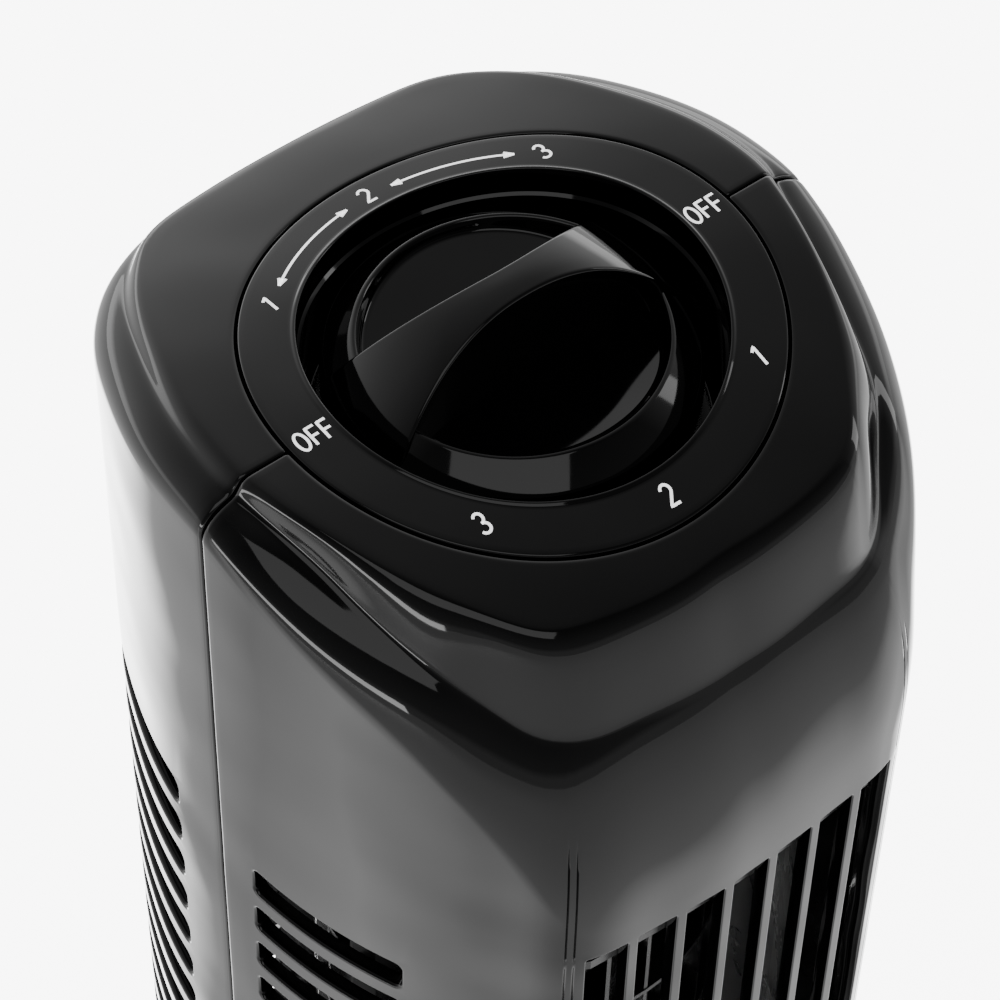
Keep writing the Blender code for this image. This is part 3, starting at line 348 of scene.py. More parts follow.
class Shell:
    """Thick casing part: columns round the body, rows down the crown, level lines down the wall, and windows."""

    def __init__(self, columns, lines, windows):
        self.columns = columns
        self.lines = lines
        self.windows = windows
        self.mesh = bmesh.new()
        self.made = {}

    def vertex(self, key, point):
        if key not in self.made:
            self.made[key] = self.mesh.verts.new(point * MM)
        return self.made[key]

    def upper(self, i, row, inner):
        arc, depth = self.columns[i]
        if row == ROWS - 1:
            return self.wall(i, 0, inner)
        groove = 0.0
        if depth < 0:
            height = SURFACE[0, row, 2] if inner else upper_point(arc, row, 0.0, False)[2]
            groove = -depth if height < GROOVE_TOP else 0.0
            depth = 0.0
        return self.vertex(("up", i, row, inner), upper_point(arc, row, depth + groove, inner))

    def wall(self, i, n, inner):
        arc, depth = self.columns[i]
        z, lip = self.lines[n]
        if depth < 0:
            depth = 0.0 if GROOVE_BREAK[0] < z < GROOVE_BREAK[1] else -depth
        return self.vertex(("wall", i, n, inner), wall_point(arc, z, SKIN if inner else max(depth, lip)))

    def face(self, *corners):
        corners = [c for k, c in enumerate(corners) if c is not corners[k - 1]]
        if len(corners) > 2:
            self.mesh.faces.new(corners)

    def covered(self, i, n):
        return any(w["i"][0] <= i < w["i"][1] and w["n"][0] <= n < w["n"][1] for w in self.windows)

    def skins(self):
        last = len(self.columns) - 1
        for inner in (False, True):
            for i in range(last):
                for row in range(ROWS - 1):
                    quad = [self.upper(i, row, inner), self.upper(i + 1, row, inner)]
                    quad += [self.upper(i + 1, row + 1, inner), self.upper(i, row + 1, inner)]
                    self.face(*(quad if inner else quad[::-1]))
                for n in range(len(self.lines) - 1):
                    if self.covered(i, n):
                        continue
                    quad = [self.wall(i, n, inner), self.wall(i + 1, n, inner)]
                    quad += [self.wall(i + 1, n + 1, inner), self.wall(i, n + 1, inner)]
                    self.face(*(quad if inner else quad[::-1]))
        bottom = len(self.lines) - 1
        for i in range(last):
            self.face(
                self.upper(i, 0, True), self.upper(i, 0, False),
                self.upper(i + 1, 0, False), self.upper(i + 1, 0, True),
            )
            self.face(
                self.wall(i, bottom, False), self.wall(i, bottom, True),
                self.wall(i + 1, bottom, True), self.wall(i + 1, bottom, False),
            )
        for i in (0, last):
            for row in range(ROWS - 1):
                quad = [self.upper(i, row, False), self.upper(i, row, True)]
                self.face(*quad, self.upper(i, row + 1, True), self.upper(i, row + 1, False))
            for n in range(bottom):
                quad = [self.wall(i, n, False), self.wall(i, n, True)]
                self.face(*quad, self.wall(i, n + 1, True), self.wall(i, n + 1, False))

    def window(self, number, w):
        """One hole with rounded lips, joined to the level lines and columns round it."""
        (i0, i1), (n0, n1) = w["i"], w["n"]
        a0, a1, z_low, z_high = w["hole"]
        r, lip = w["corner"], w["lip"]
        sides = [
            [("s", i, n1) for i in range(i0, i1 + 1)], [("z", i1, n) for n in range(n1, n0 - 1, -1)],
            [("s", i, n0) for i in range(i1, i0 - 1, -1)], [("z", i0, n) for n in range(n0, n1 + 1)],
        ]
        centres = [(a0 + r, z_low + r), (a1 - r, z_low + r), (a1 - r, z_high - r), (a0 + r, z_high - r)]
        ways = [(0, -1), (1, 0), (0, 1), (-1, 0)]
        hole = []
        spans = []
        for k in range(4):
            start, end = centres[k], centres[(k + 1) % 4]
            axis = k % 2
            sign = 1 if end[axis] > start[axis] else -1
            places = [start[axis]]
            for kind, i, n in sides[k]:
                here = self.columns[i][0] if kind == "s" else self.lines[n][0]
                if sign * (here - start[axis]) > 0.3 and sign * (end[axis] - here) > 0.3:
                    places.append(here)
            places.append(end[axis])
            first = len(hole)
            for place in places:
                centre = (place, start[1]) if axis == 0 else (start[0], place)
                hole.append((centre, ways[k]))
            spans.append((first, len(hole) - 1, sign, axis))
            turns = w["turns"]
            for t in range(1, turns):
                angle = math.radians(-90 + 90 * k + 90 * t / turns)
                hole.append((end, (math.cos(angle), math.sin(angle))))
        loops = []
        offsets = [(0.8 * lip + 0.15, 0.0)]
        offsets += [(lip * (1 - math.sin(t)), lip * (1 - math.cos(t))) for t in np.radians((0, 30, 60, 90))]
        offsets += [(0.0, SKIN)]
        for step, (out, depth) in enumerate(offsets):
            loop = []
            for k, (centre, way) in enumerate(hole):
                arc = centre[0] + way[0] * (r + out)
                z = centre[1] + way[1] * (r + out)
                loop.append(self.vertex(("w", number, step, k), wall_point(arc, z, depth)))
            loops.append(loop)
        count = len(hole)
        for a, b in zip(loops, loops[1:]):
            for k in range(count):
                self.face(a[k], a[(k + 1) % count], b[(k + 1) % count], b[k])
        for inner, loop in ((False, loops[0]), (True, loops[-1])):
            for k in range(4):
                first, end, sign, axis = spans[k]
                edge = [
                    (self.columns[i][0] if kind == "s" else self.lines[n][0], self.wall(i, n, inner))
                    for kind, i, n in sides[k]
                ]
                near = [(hole[j][0][axis], loop[j]) for j in range(first, end + 1)]
                self.zip_edges(edge, near, sign, inner)
                corner = edge[-1][1]
                arc = [loop[j % count] for j in range(end, end + w["turns"] + 1)]
                for p, q in zip(arc, arc[1:]):
                    self.face(*((corner, q, p) if not inner else (corner, p, q)))

    def zip_edges(self, edge, near, sign, inner):
        i = j = 0
        while i < len(edge) - 1 or j < len(near) - 1:
            ahead_i = sign * edge[i + 1][0] if i < len(edge) - 1 else math.inf
            ahead_j = sign * near[j + 1][0] if j < len(near) - 1 else math.inf
            if abs(ahead_i - ahead_j) < 1e-6:
                loop = (edge[i][1], edge[i + 1][1], near[j + 1][1], near[j][1])
                i, j = i + 1, j + 1
            elif ahead_i < ahead_j:
                loop = (edge[i][1], edge[i + 1][1], near[j][1])
                i += 1
            else:
                loop = (edge[i][1], near[j + 1][1], near[j][1])
                j += 1
            self.face(*(loop if not inner else loop[::-1]))

    def finish(self, name, node, material):
        self.skins()
        for number, w in enumerate(self.windows):
            self.window(number, w)
        bmesh.ops.recalc_face_normals(self.mesh, faces=self.mesh.faces)
        return finish_mesh(self.mesh, name, "tower", material, (node,), 50)


def finish_mesh(mesh, name, body, material, nodes, sharp=35):
    """Turn a bmesh into a piece that rides on a body and stands for some CAD nodes."""
    data = bpy.data.meshes.new(name)
    mesh.to_mesh(data)
    mesh.free()
    made = bpy.data.objects.new(name, data)
    bpy.context.scene.collection.objects.link(made)
    data.shade_smooth()
    data.set_sharp_from_angle(angle=math.radians(sharp))
    data.materials.append(material)
    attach(made, body)
    if nodes:
        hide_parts(*nodes)
    return made


def fill_columns(start, end, special, pitch):
    """Places from start to end that include the special ones and keep about the same pitch between them."""
    fixed = sorted({round(s, 4) for s in special if start < s < end} | {start, end})
    places = []
    for a, b in zip(fixed, fixed[1:]):
        count = max(1, int(round((b - a) / pitch)))
        places += [a + (b - a) * k / count for k in range(count)]
    return places + [end]


def lipped(places):
    """Columns of a shell that ends at both seams, with rounded lips along them."""
    start, end = places[0], places[-1]
    inside = [p for p in places if start + 1.2 < p < end - 1.2]
    first = [(start + out, down) for out, down in LIP] + [(start + 0.9, 0.0)]
    last = [(end - 0.9, 0.0)] + [(end - out, down) for out, down in LIP[::-1]]
    return first + [(p, 0.0) for p in inside] + last


def level_lines(extra):
    slots = [SLOT_TOP + (SLOT_PITCH - SLOT_HEIGHT) / 2 - k * SLOT_PITCH for k in range(SLOT_COUNT + 1)]
    lower = [OPENING_BOTTOM - 1.5, 140.0, 110.0, 80.0, 55.0, SHELL_BOTTOM + 0.9]
    plain = sorted({COLLAR, *extra, *slots, *lower}, reverse=True)
    return [(z, 0.0) for z in plain] + [(SHELL_BOTTOM + out, down) for out, down in LIP[::-1]]


def index_of(pairs, value):
    return min(range(len(pairs)), key=lambda k: abs(pairs[k][0] - value))


def slot_windows(columns, lines, arcs, corner):
    """A column of intake slots on each side, between two distances round the wall."""
    found = []
    margin = 2.6
    for a, b in (arcs, tuple(GIRTH - v for v in arcs[::-1]) if arcs[0] > GIRTH / 4 else (-arcs[1], -arcs[0])):
        ends = (index_of(columns, a - margin), index_of(columns, b + margin))
        for k in range(SLOT_COUNT):
            top = SLOT_TOP - k * SLOT_PITCH
            middle = top + (SLOT_PITCH - SLOT_HEIGHT) / 2
            found.append({
                "i": ends, "n": (index_of(lines, middle), index_of(lines, middle - SLOT_PITCH)),
                "hole": (a, b, top - SLOT_HEIGHT, top), "corner": corner, "lip": 0.7, "turns": 6,
            })
    return found


def build_front_shell(material):
    seam = arc_at_y(-SEAM)
    slot = (arc_at_y(SIDE_SLOT_Y[0]), arc_at_y(SIDE_SLOT_Y[1]))
    pitch = (2 * OPENING_HALF + BAR_WIDTH) / (BAR_COUNT + 1)
    bar_x = [-OPENING_HALF - BAR_WIDTH / 2 + k * pitch for k in range(BAR_COUNT + 2)]
    bar_arcs = [math.copysign(arc_at_x(abs(x)), x) for x in bar_x]
    grooves = [line + out for line in CORNER_LINES for out, _ in GROOVE]
    special = bar_arcs + [side * v for side in (-1, 1) for v in (slot[0] - 2.6, slot[1] + 2.6, *grooves)]
    places = fill_columns(-seam, seam, special, 2.0)
    columns = lipped(places)
    depths = {round(side * (line + out), 4): -down for side in (-1, 1) for line in CORNER_LINES for out, down in GROOVE}
    columns = [(arc, depths.get(round(arc, 4), depth)) for arc, depth in columns]
    lines = level_lines((OPENING_TOP + 0.2, OPENING_TOP - 1.0, OPENING_TOP - 1.8, OPENING_BOTTOM + 2.0))
    windows = slot_windows(columns, lines, slot, 1.6)
    half = BAR_WIDTH / 2
    for a, b in zip(bar_arcs, bar_arcs[1:]):
        windows.append({
            "i": (index_of(columns, a), index_of(columns, b)),
            "n": (0, index_of(lines, OPENING_BOTTOM - 1.5)),
            "hole": (a + half, b - half, OPENING_BOTTOM, OPENING_TOP), "corner": 0.45, "lip": 0.3, "turns": 2,
        })
    Shell(columns, lines, windows).finish("front_casing", "front_shell", material)


def build_rear_shell(material):
    seam = arc_at_y(SEAM)
    slot = (arc_at_y(REAR_SLOT_Y), arc_at_x(SPINE_HALF, rear=True))
    special = [slot[0] - 2.6, slot[1] + 2.6]
    special += [GIRTH - v for v in special]
    columns = lipped(fill_columns(seam, GIRTH - seam, special, 2.0))
    lines = level_lines(())
    windows = slot_windows(columns, lines, slot, 2.2)
    Shell(columns, lines, windows).finish("rear_casing", "rear_shell", material)


# ---------------------------------------------------------------- turned pieces

def arc_points(centre, radius, start, end, count):
    angles = np.radians(np.linspace(start, end, count))
    return [(centre[0] + radius * math.cos(a), centre[1] + radius * math.sin(a)) for a in angles]


def turned_mesh(profile_points, steps, lift=None):
    """Closed profile of (radius, height) turned about Z, each point raised by lift(y) where it is given."""
    mesh = bmesh.new()
    rings = []
    for r, z in profile_points:
        ring = []
        for k in range(steps):
            turn = 2 * math.pi * k / steps
            x, y = r * math.cos(turn), r * math.sin(turn)
            rise = lift(y, z) if lift else 0.0
            ring.append(mesh.verts.new((x * MM, y * MM, (z + rise) * MM)))
        rings.append(ring)
    for a, b in zip(rings, rings[1:] + rings[:1]):
        for k in range(steps):
            n = (k + 1) % steps
            mesh.faces.new((a[k], a[n], b[n], b[k]))
    bmesh.ops.remove_doubles(mesh, verts=mesh.verts, dist=1e-6)
    bmesh.ops.recalc_face_normals(mesh, faces=mesh.faces)
    return mesh


def build_dial_ring(material):
    """Dial ring that follows the arched crown, with a fine raised lip round its deep well."""
    floor = CROWN_TOP - 28.0
    top = CROWN_TOP + 0.12

    def follow(y, z):
        share = min(max((z - floor) / (CROWN_TOP - floor), 0.0), 1.0)
        return -y * y / (2 * CROWN_RADIUS) * share ** 0.5

    outer = DIAL_RADIUS
    line = [(outer, CROWN_TOP - 4.5)] + arc_points((outer - 0.5, top - 0.5), 0.5, 0, 90, 5)
    line += [(r, top) for r in np.linspace(outer - 1.5, WELL_RADIUS + 1.6, 7)]
    line += [(WELL_RADIUS + 1.1, top), (WELL_RADIUS + 0.9, top + 0.08), (WELL_RADIUS + 0.65, top + 0.28)]
    line += arc_points((WELL_RADIUS + 0.45, top - 0.1), 0.45, 90, 180, 6)
    line += [(WELL_RADIUS, CROWN_TOP - 3.0), (WELL_RADIUS + 0.05, CROWN_TOP - 6.0)]
    line += [(WELL_RADIUS - 0.5, CROWN_TOP - 6.6), (WELL_RADIUS - 0.5, floor + 1.0)]
    line += arc_points((WELL_RADIUS - 1.5, floor + 1.0), 1.0, 0, -90, 4)
    line += [(5.0, floor), (5.0, floor - 2.5), (WELL_RADIUS + 2.5, floor - 2.5), (WELL_RADIUS + 2.5, CROWN_TOP - 13.0)]
    line += [(outer, CROWN_TOP - 13.0), (outer + 4.9, CROWN_TOP - 13.0)]
    line += [(outer + 4.9, CROWN_TOP - 12.0), (outer, CROWN_TOP - 12.0)]
    finish_mesh(turned_mesh(line, 240, follow), "dial_face", "tower", material, ("dial_ring",), 40)


# ---------------------------------------------------------------- printed marks

LABEL_RADIUS = 42.9
LABEL_HEIGHT = 4.6
STROKE = 0.52
LABELS = (("OFF", 0), ("3", 45), ("2", 90), ("1", 135), ("OFF", 180), ("3", 225), ("2", 270), ("1", 315))


def arc_path(cx, cy, rx, ry, start, end, count=14):
    angles = np.radians(np.linspace(start, end, count))
    return [(cx + rx * math.cos(a), cy + ry * math.sin(a)) for a in angles]


# Strokes of each sign in a box one unit high
SIGNS = {
    "O": (0.56, [arc_path(0.28, 0.5, 0.22, 0.44, 0, 360, 40)]),
    "F": (0.50, [[(0.10, 0.06), (0.10, 0.94), (0.47, 0.94)], [(0.10, 0.51), (0.43, 0.51)]]),
    "1": (0.40, [[(0.08, 0.76), (0.26, 0.94), (0.26, 0.06)]]),
    "2": (0.54, [arc_path(0.27, 0.70, 0.20, 0.24, 165, -38) + [(0.08, 0.06), (0.49, 0.06)]]),
    "3": (0.54, [
        arc_path(0.26, 0.72, 0.18, 0.22, 155, -90) + arc_path(0.26, 0.28, 0.21, 0.22, 90, -155),
    ]),
}


def stroke_outline(points, width):
    """Left and right side of a stroke with a constant width."""
    points = np.array(points, float)
    ways = np.gradient(points, axis=0)
    ways /= np.linalg.norm(ways, axis=1, keepdims=True)
    across = np.stack([-ways[:, 1], ways[:, 0]], 1) * width / 2
    return points + across, points - across


def ink(mesh, points, width):
    """Thin printed stroke lying on the dial face."""
    dense = []
    for a, b in zip(points, points[1:]):
        count = max(1, int(math.hypot(b[0] - a[0], b[1] - a[1]) / 0.25))
        dense += [(a[0] + (b[0] - a[0]) * k / count, a[1] + (b[1] - a[1]) * k / count) for k in range(count)]
    dense.append(points[-1])
    left, right = stroke_outline(dense, width)
    rings = []
    for l, r in zip(left, right):
        ring = []
        for (x, y), rise in ((l, 0.17), (r, 0.17), (r, 0.10), (l, 0.10)):
            ring.append(mesh.verts.new((x * MM, y * MM, (crown(y) + rise) * MM)))
        rings.append(ring)
    for a, b in zip(rings, rings[1:]):
        for k in range(4):
            mesh.faces.new((a[k], a[(k + 1) % 4], b[(k + 1) % 4], b[k]))
    mesh.faces.new(rings[0])
    mesh.faces.new(rings[-1][::-1])


def build_labels(material):
    mesh = bmesh.new()
    for text, azimuth in LABELS:
        cx = LABEL_RADIUS * math.cos(math.radians(azimuth))
        cy = LABEL_RADIUS * math.sin(math.radians(azimuth))
        gap = 0.04
        width = sum(SIGNS[c][0] for c in text) + gap * (len(text) - 1)
        left = -width / 2
        for c in text:
            advance, strokes = SIGNS[c]
            for path in strokes:
                placed = [(cx + (left + x) * LABEL_HEIGHT, cy + (y - 0.5) * LABEL_HEIGHT) for x, y in path]
                ink(mesh, placed, STROKE)
            left += advance + gap
    for start, end in ((98.0, 127.0), (53.0, 82.0)):
        radius = LABEL_RADIUS - 0.6
        path = [(radius * math.cos(math.radians(a)), radius * math.sin(math.radians(a))) for a in np.linspace(start, end, 30)]
        ink(mesh, path, 0.5)
        for angle, way in ((start, -1), (end, 1)):
            for spread_angle in (1.25, 0.42, -0.42, -1.25):
                tip = angle + way * 1.2
                tail = angle - way * 1.4
                points = [(radius * math.cos(math.radians(tip)), radius * math.sin(math.radians(tip)))]
                reach = radius + spread_angle * 0.55
                points.append((reach * math.cos(math.radians(tail)), reach * math.sin(math.radians(tail))))
                ink(mesh, points, 0.5)
    bmesh.ops.recalc_face_normals(mesh, faces=mesh.faces)
    finish_mesh(mesh, "dial_print", "tower", material, ())


# ---------------------------------------------------------------- knob

KNOB_RIM = CROWN_TOP - 7.9
KNOB_FLOOR = CROWN_TOP - 11.0
BAND_INNER = 27.8
BAND_TOP = CROWN_TOP - 3.3
GRIP_MIDDLE_Z = CROWN_TOP + 10.6
GRIP_END_Z = CROWN_TOP - 8.6
GRIP_WAIST = 3.6
GRIP_END_FAR = 15.0
GRIP_END_NEAR = 10.0
GRIP_BASE = 5.6


def scooped(y, z):
    """Rise of the two half-round floors of the knob, from the foot of the grip to the rim."""
    if not KNOB_FLOOR - 0.01 < z < KNOB_FLOOR + 1.05:
        return 0.0
    return 2.0 + 4.0 * min(1.0, max(0.0, (abs(y) - GRIP_BASE) / 21.0))


def knob_cup():
    r = KNOB_RADIUS
    skirt = knob_low[2]
    line = [(0.0, KNOB_FLOOR)]
    line += [(x, KNOB_FLOOR) for x in np.linspace(1.5, 25.6, 18)]
    line += arc_points((25.8, KNOB_FLOOR + 1.0), 1.0, -90, -8, 5)
    line += [(BAND_INNER - 0.85, BAND_TOP - 1.2)]
    line += [(BAND_INNER - 0.55, BAND_TOP - 0.45), (BAND_INNER - 0.3, BAND_TOP - 0.12), (BAND_INNER, BAND_TOP)]
    line += [(BAND_INNER + 0.35, BAND_TOP - 0.08), (BAND_INNER + 0.7, BAND_TOP - 0.35)]
    line += [(r - 1.0, KNOB_RIM + 0.45), (r - 0.35, KNOB_RIM - 0.25), (r, KNOB_RIM - 1.1)]
    line += [(r, skirt + 0.4), (r - 0.4, skirt), (r - 2.0, skirt), (r - 2.0, KNOB_FLOOR - 2.0), (0.0, KNOB_FLOOR - 2.0)]
    return turned_mesh(line, 180, scooped)


def grip_section(u, end_half):
    """Half of a cross-section of the grip at a share of its length: (y, z) from its foot to its middle line."""
    waist = GRIP_WAIST + (end_half - GRIP_WAIST) * abs(u) ** 2.0
    top = GRIP_MIDDLE_Z + (GRIP_END_Z - GRIP_MIDDLE_Z) * abs(u) ** 2.3
    fall = max(0.0, abs(u) - 0.965) / 0.035
    top -= 0.9 * (1 - math.sqrt(max(0.0, 1 - fall * fall)))
    foot = (max(GRIP_BASE, waist), KNOB_FLOOR - 0.6)
    side = np.array((waist - foot[0], top - foot[1]))
    side /= np.linalg.norm(side)
    edge = 0.75
    line = [foot, (foot[0] + side[0] * 0.5, foot[1] + side[1] * 0.5)]
    for share in (0.35, 0.7):
        line.append((foot[0] + (waist - foot[0]) * share, foot[1] + (top - foot[1]) * share))
    start = np.array((waist, top)) - side * edge
    corner = np.array((waist, top))
    end = np.array((waist - edge, top + 0.02))
    for t in np.linspace(0, 1, 6):
        line.append(tuple((1 - t) ** 2 * start + 2 * t * (1 - t) * corner + t * t * end))
    line += [((waist - edge) * s, top + 0.02 + 0.25 * (1 - s * s)) for s in (0.66, 0.33)]
    line.append((0.0, top + 0.27))
    return line


def knob_grip():
    mesh = bmesh.new()
    rings = []
    reach = KNOB_RADIUS - 0.12
    shares = np.concatenate([-1 + 0.06 * np.linspace(0, 1, 8)[:-1] ** 1.5, np.linspace(-0.94, 0.94, 61)])
    shares = np.concatenate([shares, -shares[6::-1]])
    for u in shares:
        section = [(-y, z) for y, z in grip_section(u, GRIP_END_NEAR)]
        section += [(y, z) for y, z in grip_section(u, GRIP_END_FAR)[-2::-1]]
        ring = []
        for y, z in section:
            ring.append(mesh.verts.new((u * math.sqrt(reach ** 2 - y * y) * MM, y * MM, z * MM)))
        rings.append(ring)
    for a, b in zip(rings, rings[1:]):
        for k in range(len(a)):
            n = (k + 1) % len(a)
            mesh.faces.new((a[k], a[n], b[n], b[k]))
    mesh.faces.new(rings[0])
    mesh.faces.new(rings[-1][::-1])
    bmesh.ops.recalc_face_normals(mesh, faces=mesh.faces)
    return mesh


def knob_pointer(mesh):
    """Small raised triangle on the +X end of the grip."""
    x = KNOB_RADIUS - 4.2
    z = CROWN_TOP - 5.2
    corners = [(x, -1.5, z), (x, 1.5, z), (x + 2.6, 0.0, z - 1.6)]
    top = [mesh.verts.new(Vector(c) * MM) for c in corners]
    low = [mesh.verts.new((c[0] * MM * 1.01, c[1] * 1.25 * MM, (c[2] - 1.8) * MM)) for c in corners]
    mesh.faces.new(top)
    mesh.faces.new(low[::-1])
    for k in range(3):
        n = (k + 1) % 3
        mesh.faces.new((top[k], low[k], low[n], top[n]))


def build_knob(material):
    cup = knob_cup()
    grip = knob_grip()
    knob_pointer(grip)
    bmesh.ops.recalc_face_normals(grip, faces=grip.faces)
    finish_mesh(cup, "knob_cup", "knob", material, ("speed_knob",), 50)
    finish_mesh(grip, "knob_grip", "knob", material, (), 50)


# ---------------------------------------------------------------- impeller

FAN_BLADES = 28
FAN_RINGS = 17
BLADE_WIDTH = 9.5


def add_ring(mesh, centre, inner, outer, low, high, steps=72):
    rings = []
    for r, z in ((outer, low), (outer, high), (inner, high), (inner, low)):
        rings.append([
            mesh.verts.new(((centre[0] + r * math.cos(t)) * MM, (centre[1] + r * math.sin(t)) * MM, z * MM))
            for t in np.linspace(0, 2 * math.pi, steps, endpoint=False)
        ])
    for a, b in zip(rings, rings[1:] + rings[:1]):
        for k in range(steps):
            n = (k + 1) % steps
            mesh.faces.new((a[k], a[n], b[n], b[k]))


def build_impeller(material):
    """Crossflow wheel: forward-curved blades between end discs, stiffened by rings."""
    mesh = bmesh.new()
    centre = ((wheel_low[0] + wheel_high[0]) / 2, (wheel_low[1] + wheel_high[1]) / 2)
    radius = (wheel_high[0] - wheel_low[0]) / 2
    low, high = wheel_low[2] + 1.0, wheel_high[2]
    for z in np.linspace(low + 1.2, high - 2.5, FAN_RINGS):
        add_ring(mesh, centre, radius - BLADE_WIDTH, radius, z, z + 1.3)
    for z in (low, high - 2.5):
        add_ring(mesh, centre, 4.6, radius, z, z + 2.5)
    add_ring(mesh, centre, 4.6, 10.0, low, low + 15.0, 36)
    for k in range(FAN_BLADES):
        turn = 2 * math.pi * k / FAN_BLADES
        section = []
        for share in np.linspace(0, 1, 6):
            r = radius - 0.2 - (BLADE_WIDTH - 0.5) * share
            sweep = turn + 0.17 * math.sin(share * math.pi / 2)
            section.append((r, sweep))
        thick = 0.45
        outline = [(r, s - thick / r) for r, s in section] + [(r, s + thick / r) for r, s in section[::-1]]
        lower = []
        upper = []
        for r, s in outline:
            x, y = centre[0] + r * math.cos(s), centre[1] + r * math.sin(s)
            lower.append(mesh.verts.new((x * MM, y * MM, low * MM)))
            upper.append(mesh.verts.new((x * MM, y * MM, (high - 0.5) * MM)))
        count = len(lower)
        for j in range(count):
            n = (j + 1) % count
            mesh.faces.new((lower[j], lower[n], upper[n], upper[j]))
        mesh.faces.new(lower[::-1])
        mesh.faces.new(upper)
    bmesh.ops.recalc_face_normals(mesh, faces=mesh.faces)
    finish_mesh(mesh, "crossflow_wheel", "impeller", material, ("impeller",), 35)


# ---------------------------------------------------------------- base

def build_base_cover(name, node, side, material):
    """Half of the round base, turned with rounded lips at its opening and its rim."""
    rim = base_high[0]
    top = base_high[2]
    dome = 60.0
    span = rim - dome
    arcs = np.radians(np.linspace(0, 86, 22))
    outer = [(dome + span * math.sin(a), 3.0 + (top - 3.0) * math.cos(a) ** 0.9) for a in arcs]
    inner = [(dome + (span - 2.5) * math.sin(a), 3.0 + (top - 5.5) * math.cos(a) ** 0.9) for a in arcs]
    opening = 38.0
    line = [(opening, top - 0.8), (opening + 0.25, top - 0.2), (opening + 0.8, top)]
    line += outer + [(rim, 4.0), (rim - 0.2, 3.3), (rim - 0.6, 3.0), (rim - 2.5, 3.0)]
    line += inner[::-1] + [(dome - 4.0, top - 6.5), (opening, top - 6.5)]
    line = line[::-1]
    steps = 96
    mesh = bmesh.new()
    rings = []
    lean = 0.15 / 60.0
    for k in range(steps + 1):
        turn = side * (lean + (math.pi - 2 * lean) * k / steps)
        rings.append([mesh.verts.new((r * math.cos(turn) * MM, r * math.sin(turn) * MM, z * MM)) for r, z in line])
    for a, b in zip(rings, rings[1:]):
        for j in range(len(line)):
            n = (j + 1) % len(line)
            mesh.faces.new((a[j], a[n], b[n], b[j]))
    mesh.faces.new(rings[0])
    mesh.faces.new(rings[-1][::-1])
    bmesh.ops.remove_doubles(mesh, verts=mesh.verts, dist=1e-6)
    bmesh.ops.recalc_face_normals(mesh, faces=mesh.faces)
    finish_mesh(mesh, name, "base", material, (node,), 35)


# ---------------------------------------------------------------- materials

def shader_of(name):
    made = bpy.data.materials.new(name)
    made.use_nodes = True
    tree = made.node_tree
    return made, tree, tree.nodes["Principled BSDF"]


def noise_of(tree, scale, detail=3.0, roughness=0.5):
    coordinates = tree.nodes.new("ShaderNodeTexCoord")
    noise = tree.nodes.new("ShaderNodeTexNoise")
    noise.inputs["Scale"].default_value = scale
    noise.inputs["Detail"].default_value = detail
    noise.inputs["Roughness"].default_value = roughness
    tree.links.new(coordinates.outputs["Object"], noise.inputs["Vector"])
    return noise


def ramp_of(tree, source, low, high, start=0.3, end=0.7):
    ramp = tree.nodes.new("ShaderNodeValToRGB")
    ramp.color_ramp.elements[0].position = start
    ramp.color_ramp.elements[0].color = (*low, 1.0)
    ramp.color_ramp.elements[1].position = end
    ramp.color_ramp.elements[1].color = (*high, 1.0)
    tree.links.new(source, ramp.inputs["Fac"])
    return ramp.outputs["Color"]


def bump_of(tree, source, distance, strength, below=None):
    bump = tree.nodes.new("ShaderNodeBump")
    bump.inputs["Strength"].default_value = strength
    bump.inputs["Distance"].default_value = distance
    tree.links.new(source, bump.inputs["Height"])
    if below is not None:
        tree.links.new(below, bump.inputs["Normal"])
    return bump.outputs["Normal"]


def moulded_plastic(name, dark, light, smooth, rough, ripple, grain=0.0):
    """Moulded plastic: slow ripple of the surface, fine grain, patches of slightly different gloss."""
    made, tree, shader = shader_of(name)
    tint = noise_of(tree, 18.0, 4.0)
    tree.links.new(ramp_of(tree, tint.outputs["Fac"], dark, light), shader.inputs["Base Color"])
    patches = noise_of(tree, 35.0, 5.0, 0.6)
    gloss = ramp_of(tree, patches.outputs["Fac"], (smooth,) * 3, (rough,) * 3, 0.35, 0.75)
    tree.links.new(gloss, shader.inputs["Roughness"])
    waves = noise_of(tree, 26.0, 1.0)
    normal = bump_of(tree, waves.outputs["Fac"], ripple, 1.0)
    if grain:
        speck = noise_of(tree, 2600.0, 2.0)
        normal = bump_of(tree, speck.outputs["Fac"], grain, 1.0, normal)
    tree.links.new(normal, shader.inputs["Normal"])
    shader.inputs["IOR"].default_value = 1.52
    return made


def bare_metal(name, dark, light, smooth, rough, stretch):
    """Machined or plated metal with faint drawn lines."""
    made, tree, shader = shader_of(name)
    noise = noise_of(tree, 120.0, 5.0, 0.65)
    mapping = tree.nodes.new("ShaderNodeMapping")
    mapping.inputs["Scale"].default_value = stretch
    tree.links.new(noise.inputs["Vector"].links[0].from_socket, mapping.inputs["Vector"])
    tree.links.new(mapping.outputs["Vector"], noise.inputs["Vector"])
    tree.links.new(ramp_of(tree, noise.outputs["Fac"], dark, light), shader.inputs["Base Color"])
    tree.links.new(ramp_of(tree, noise.outputs["Fac"], (smooth,) * 3, (rough,) * 3), shader.inputs["Roughness"])
    tree.links.new(bump_of(tree, noise.outputs["Fac"], 0.00003, 0.6), shader.inputs["Normal"])
    shader.inputs["Metallic"].default_value = 1.0
    return made


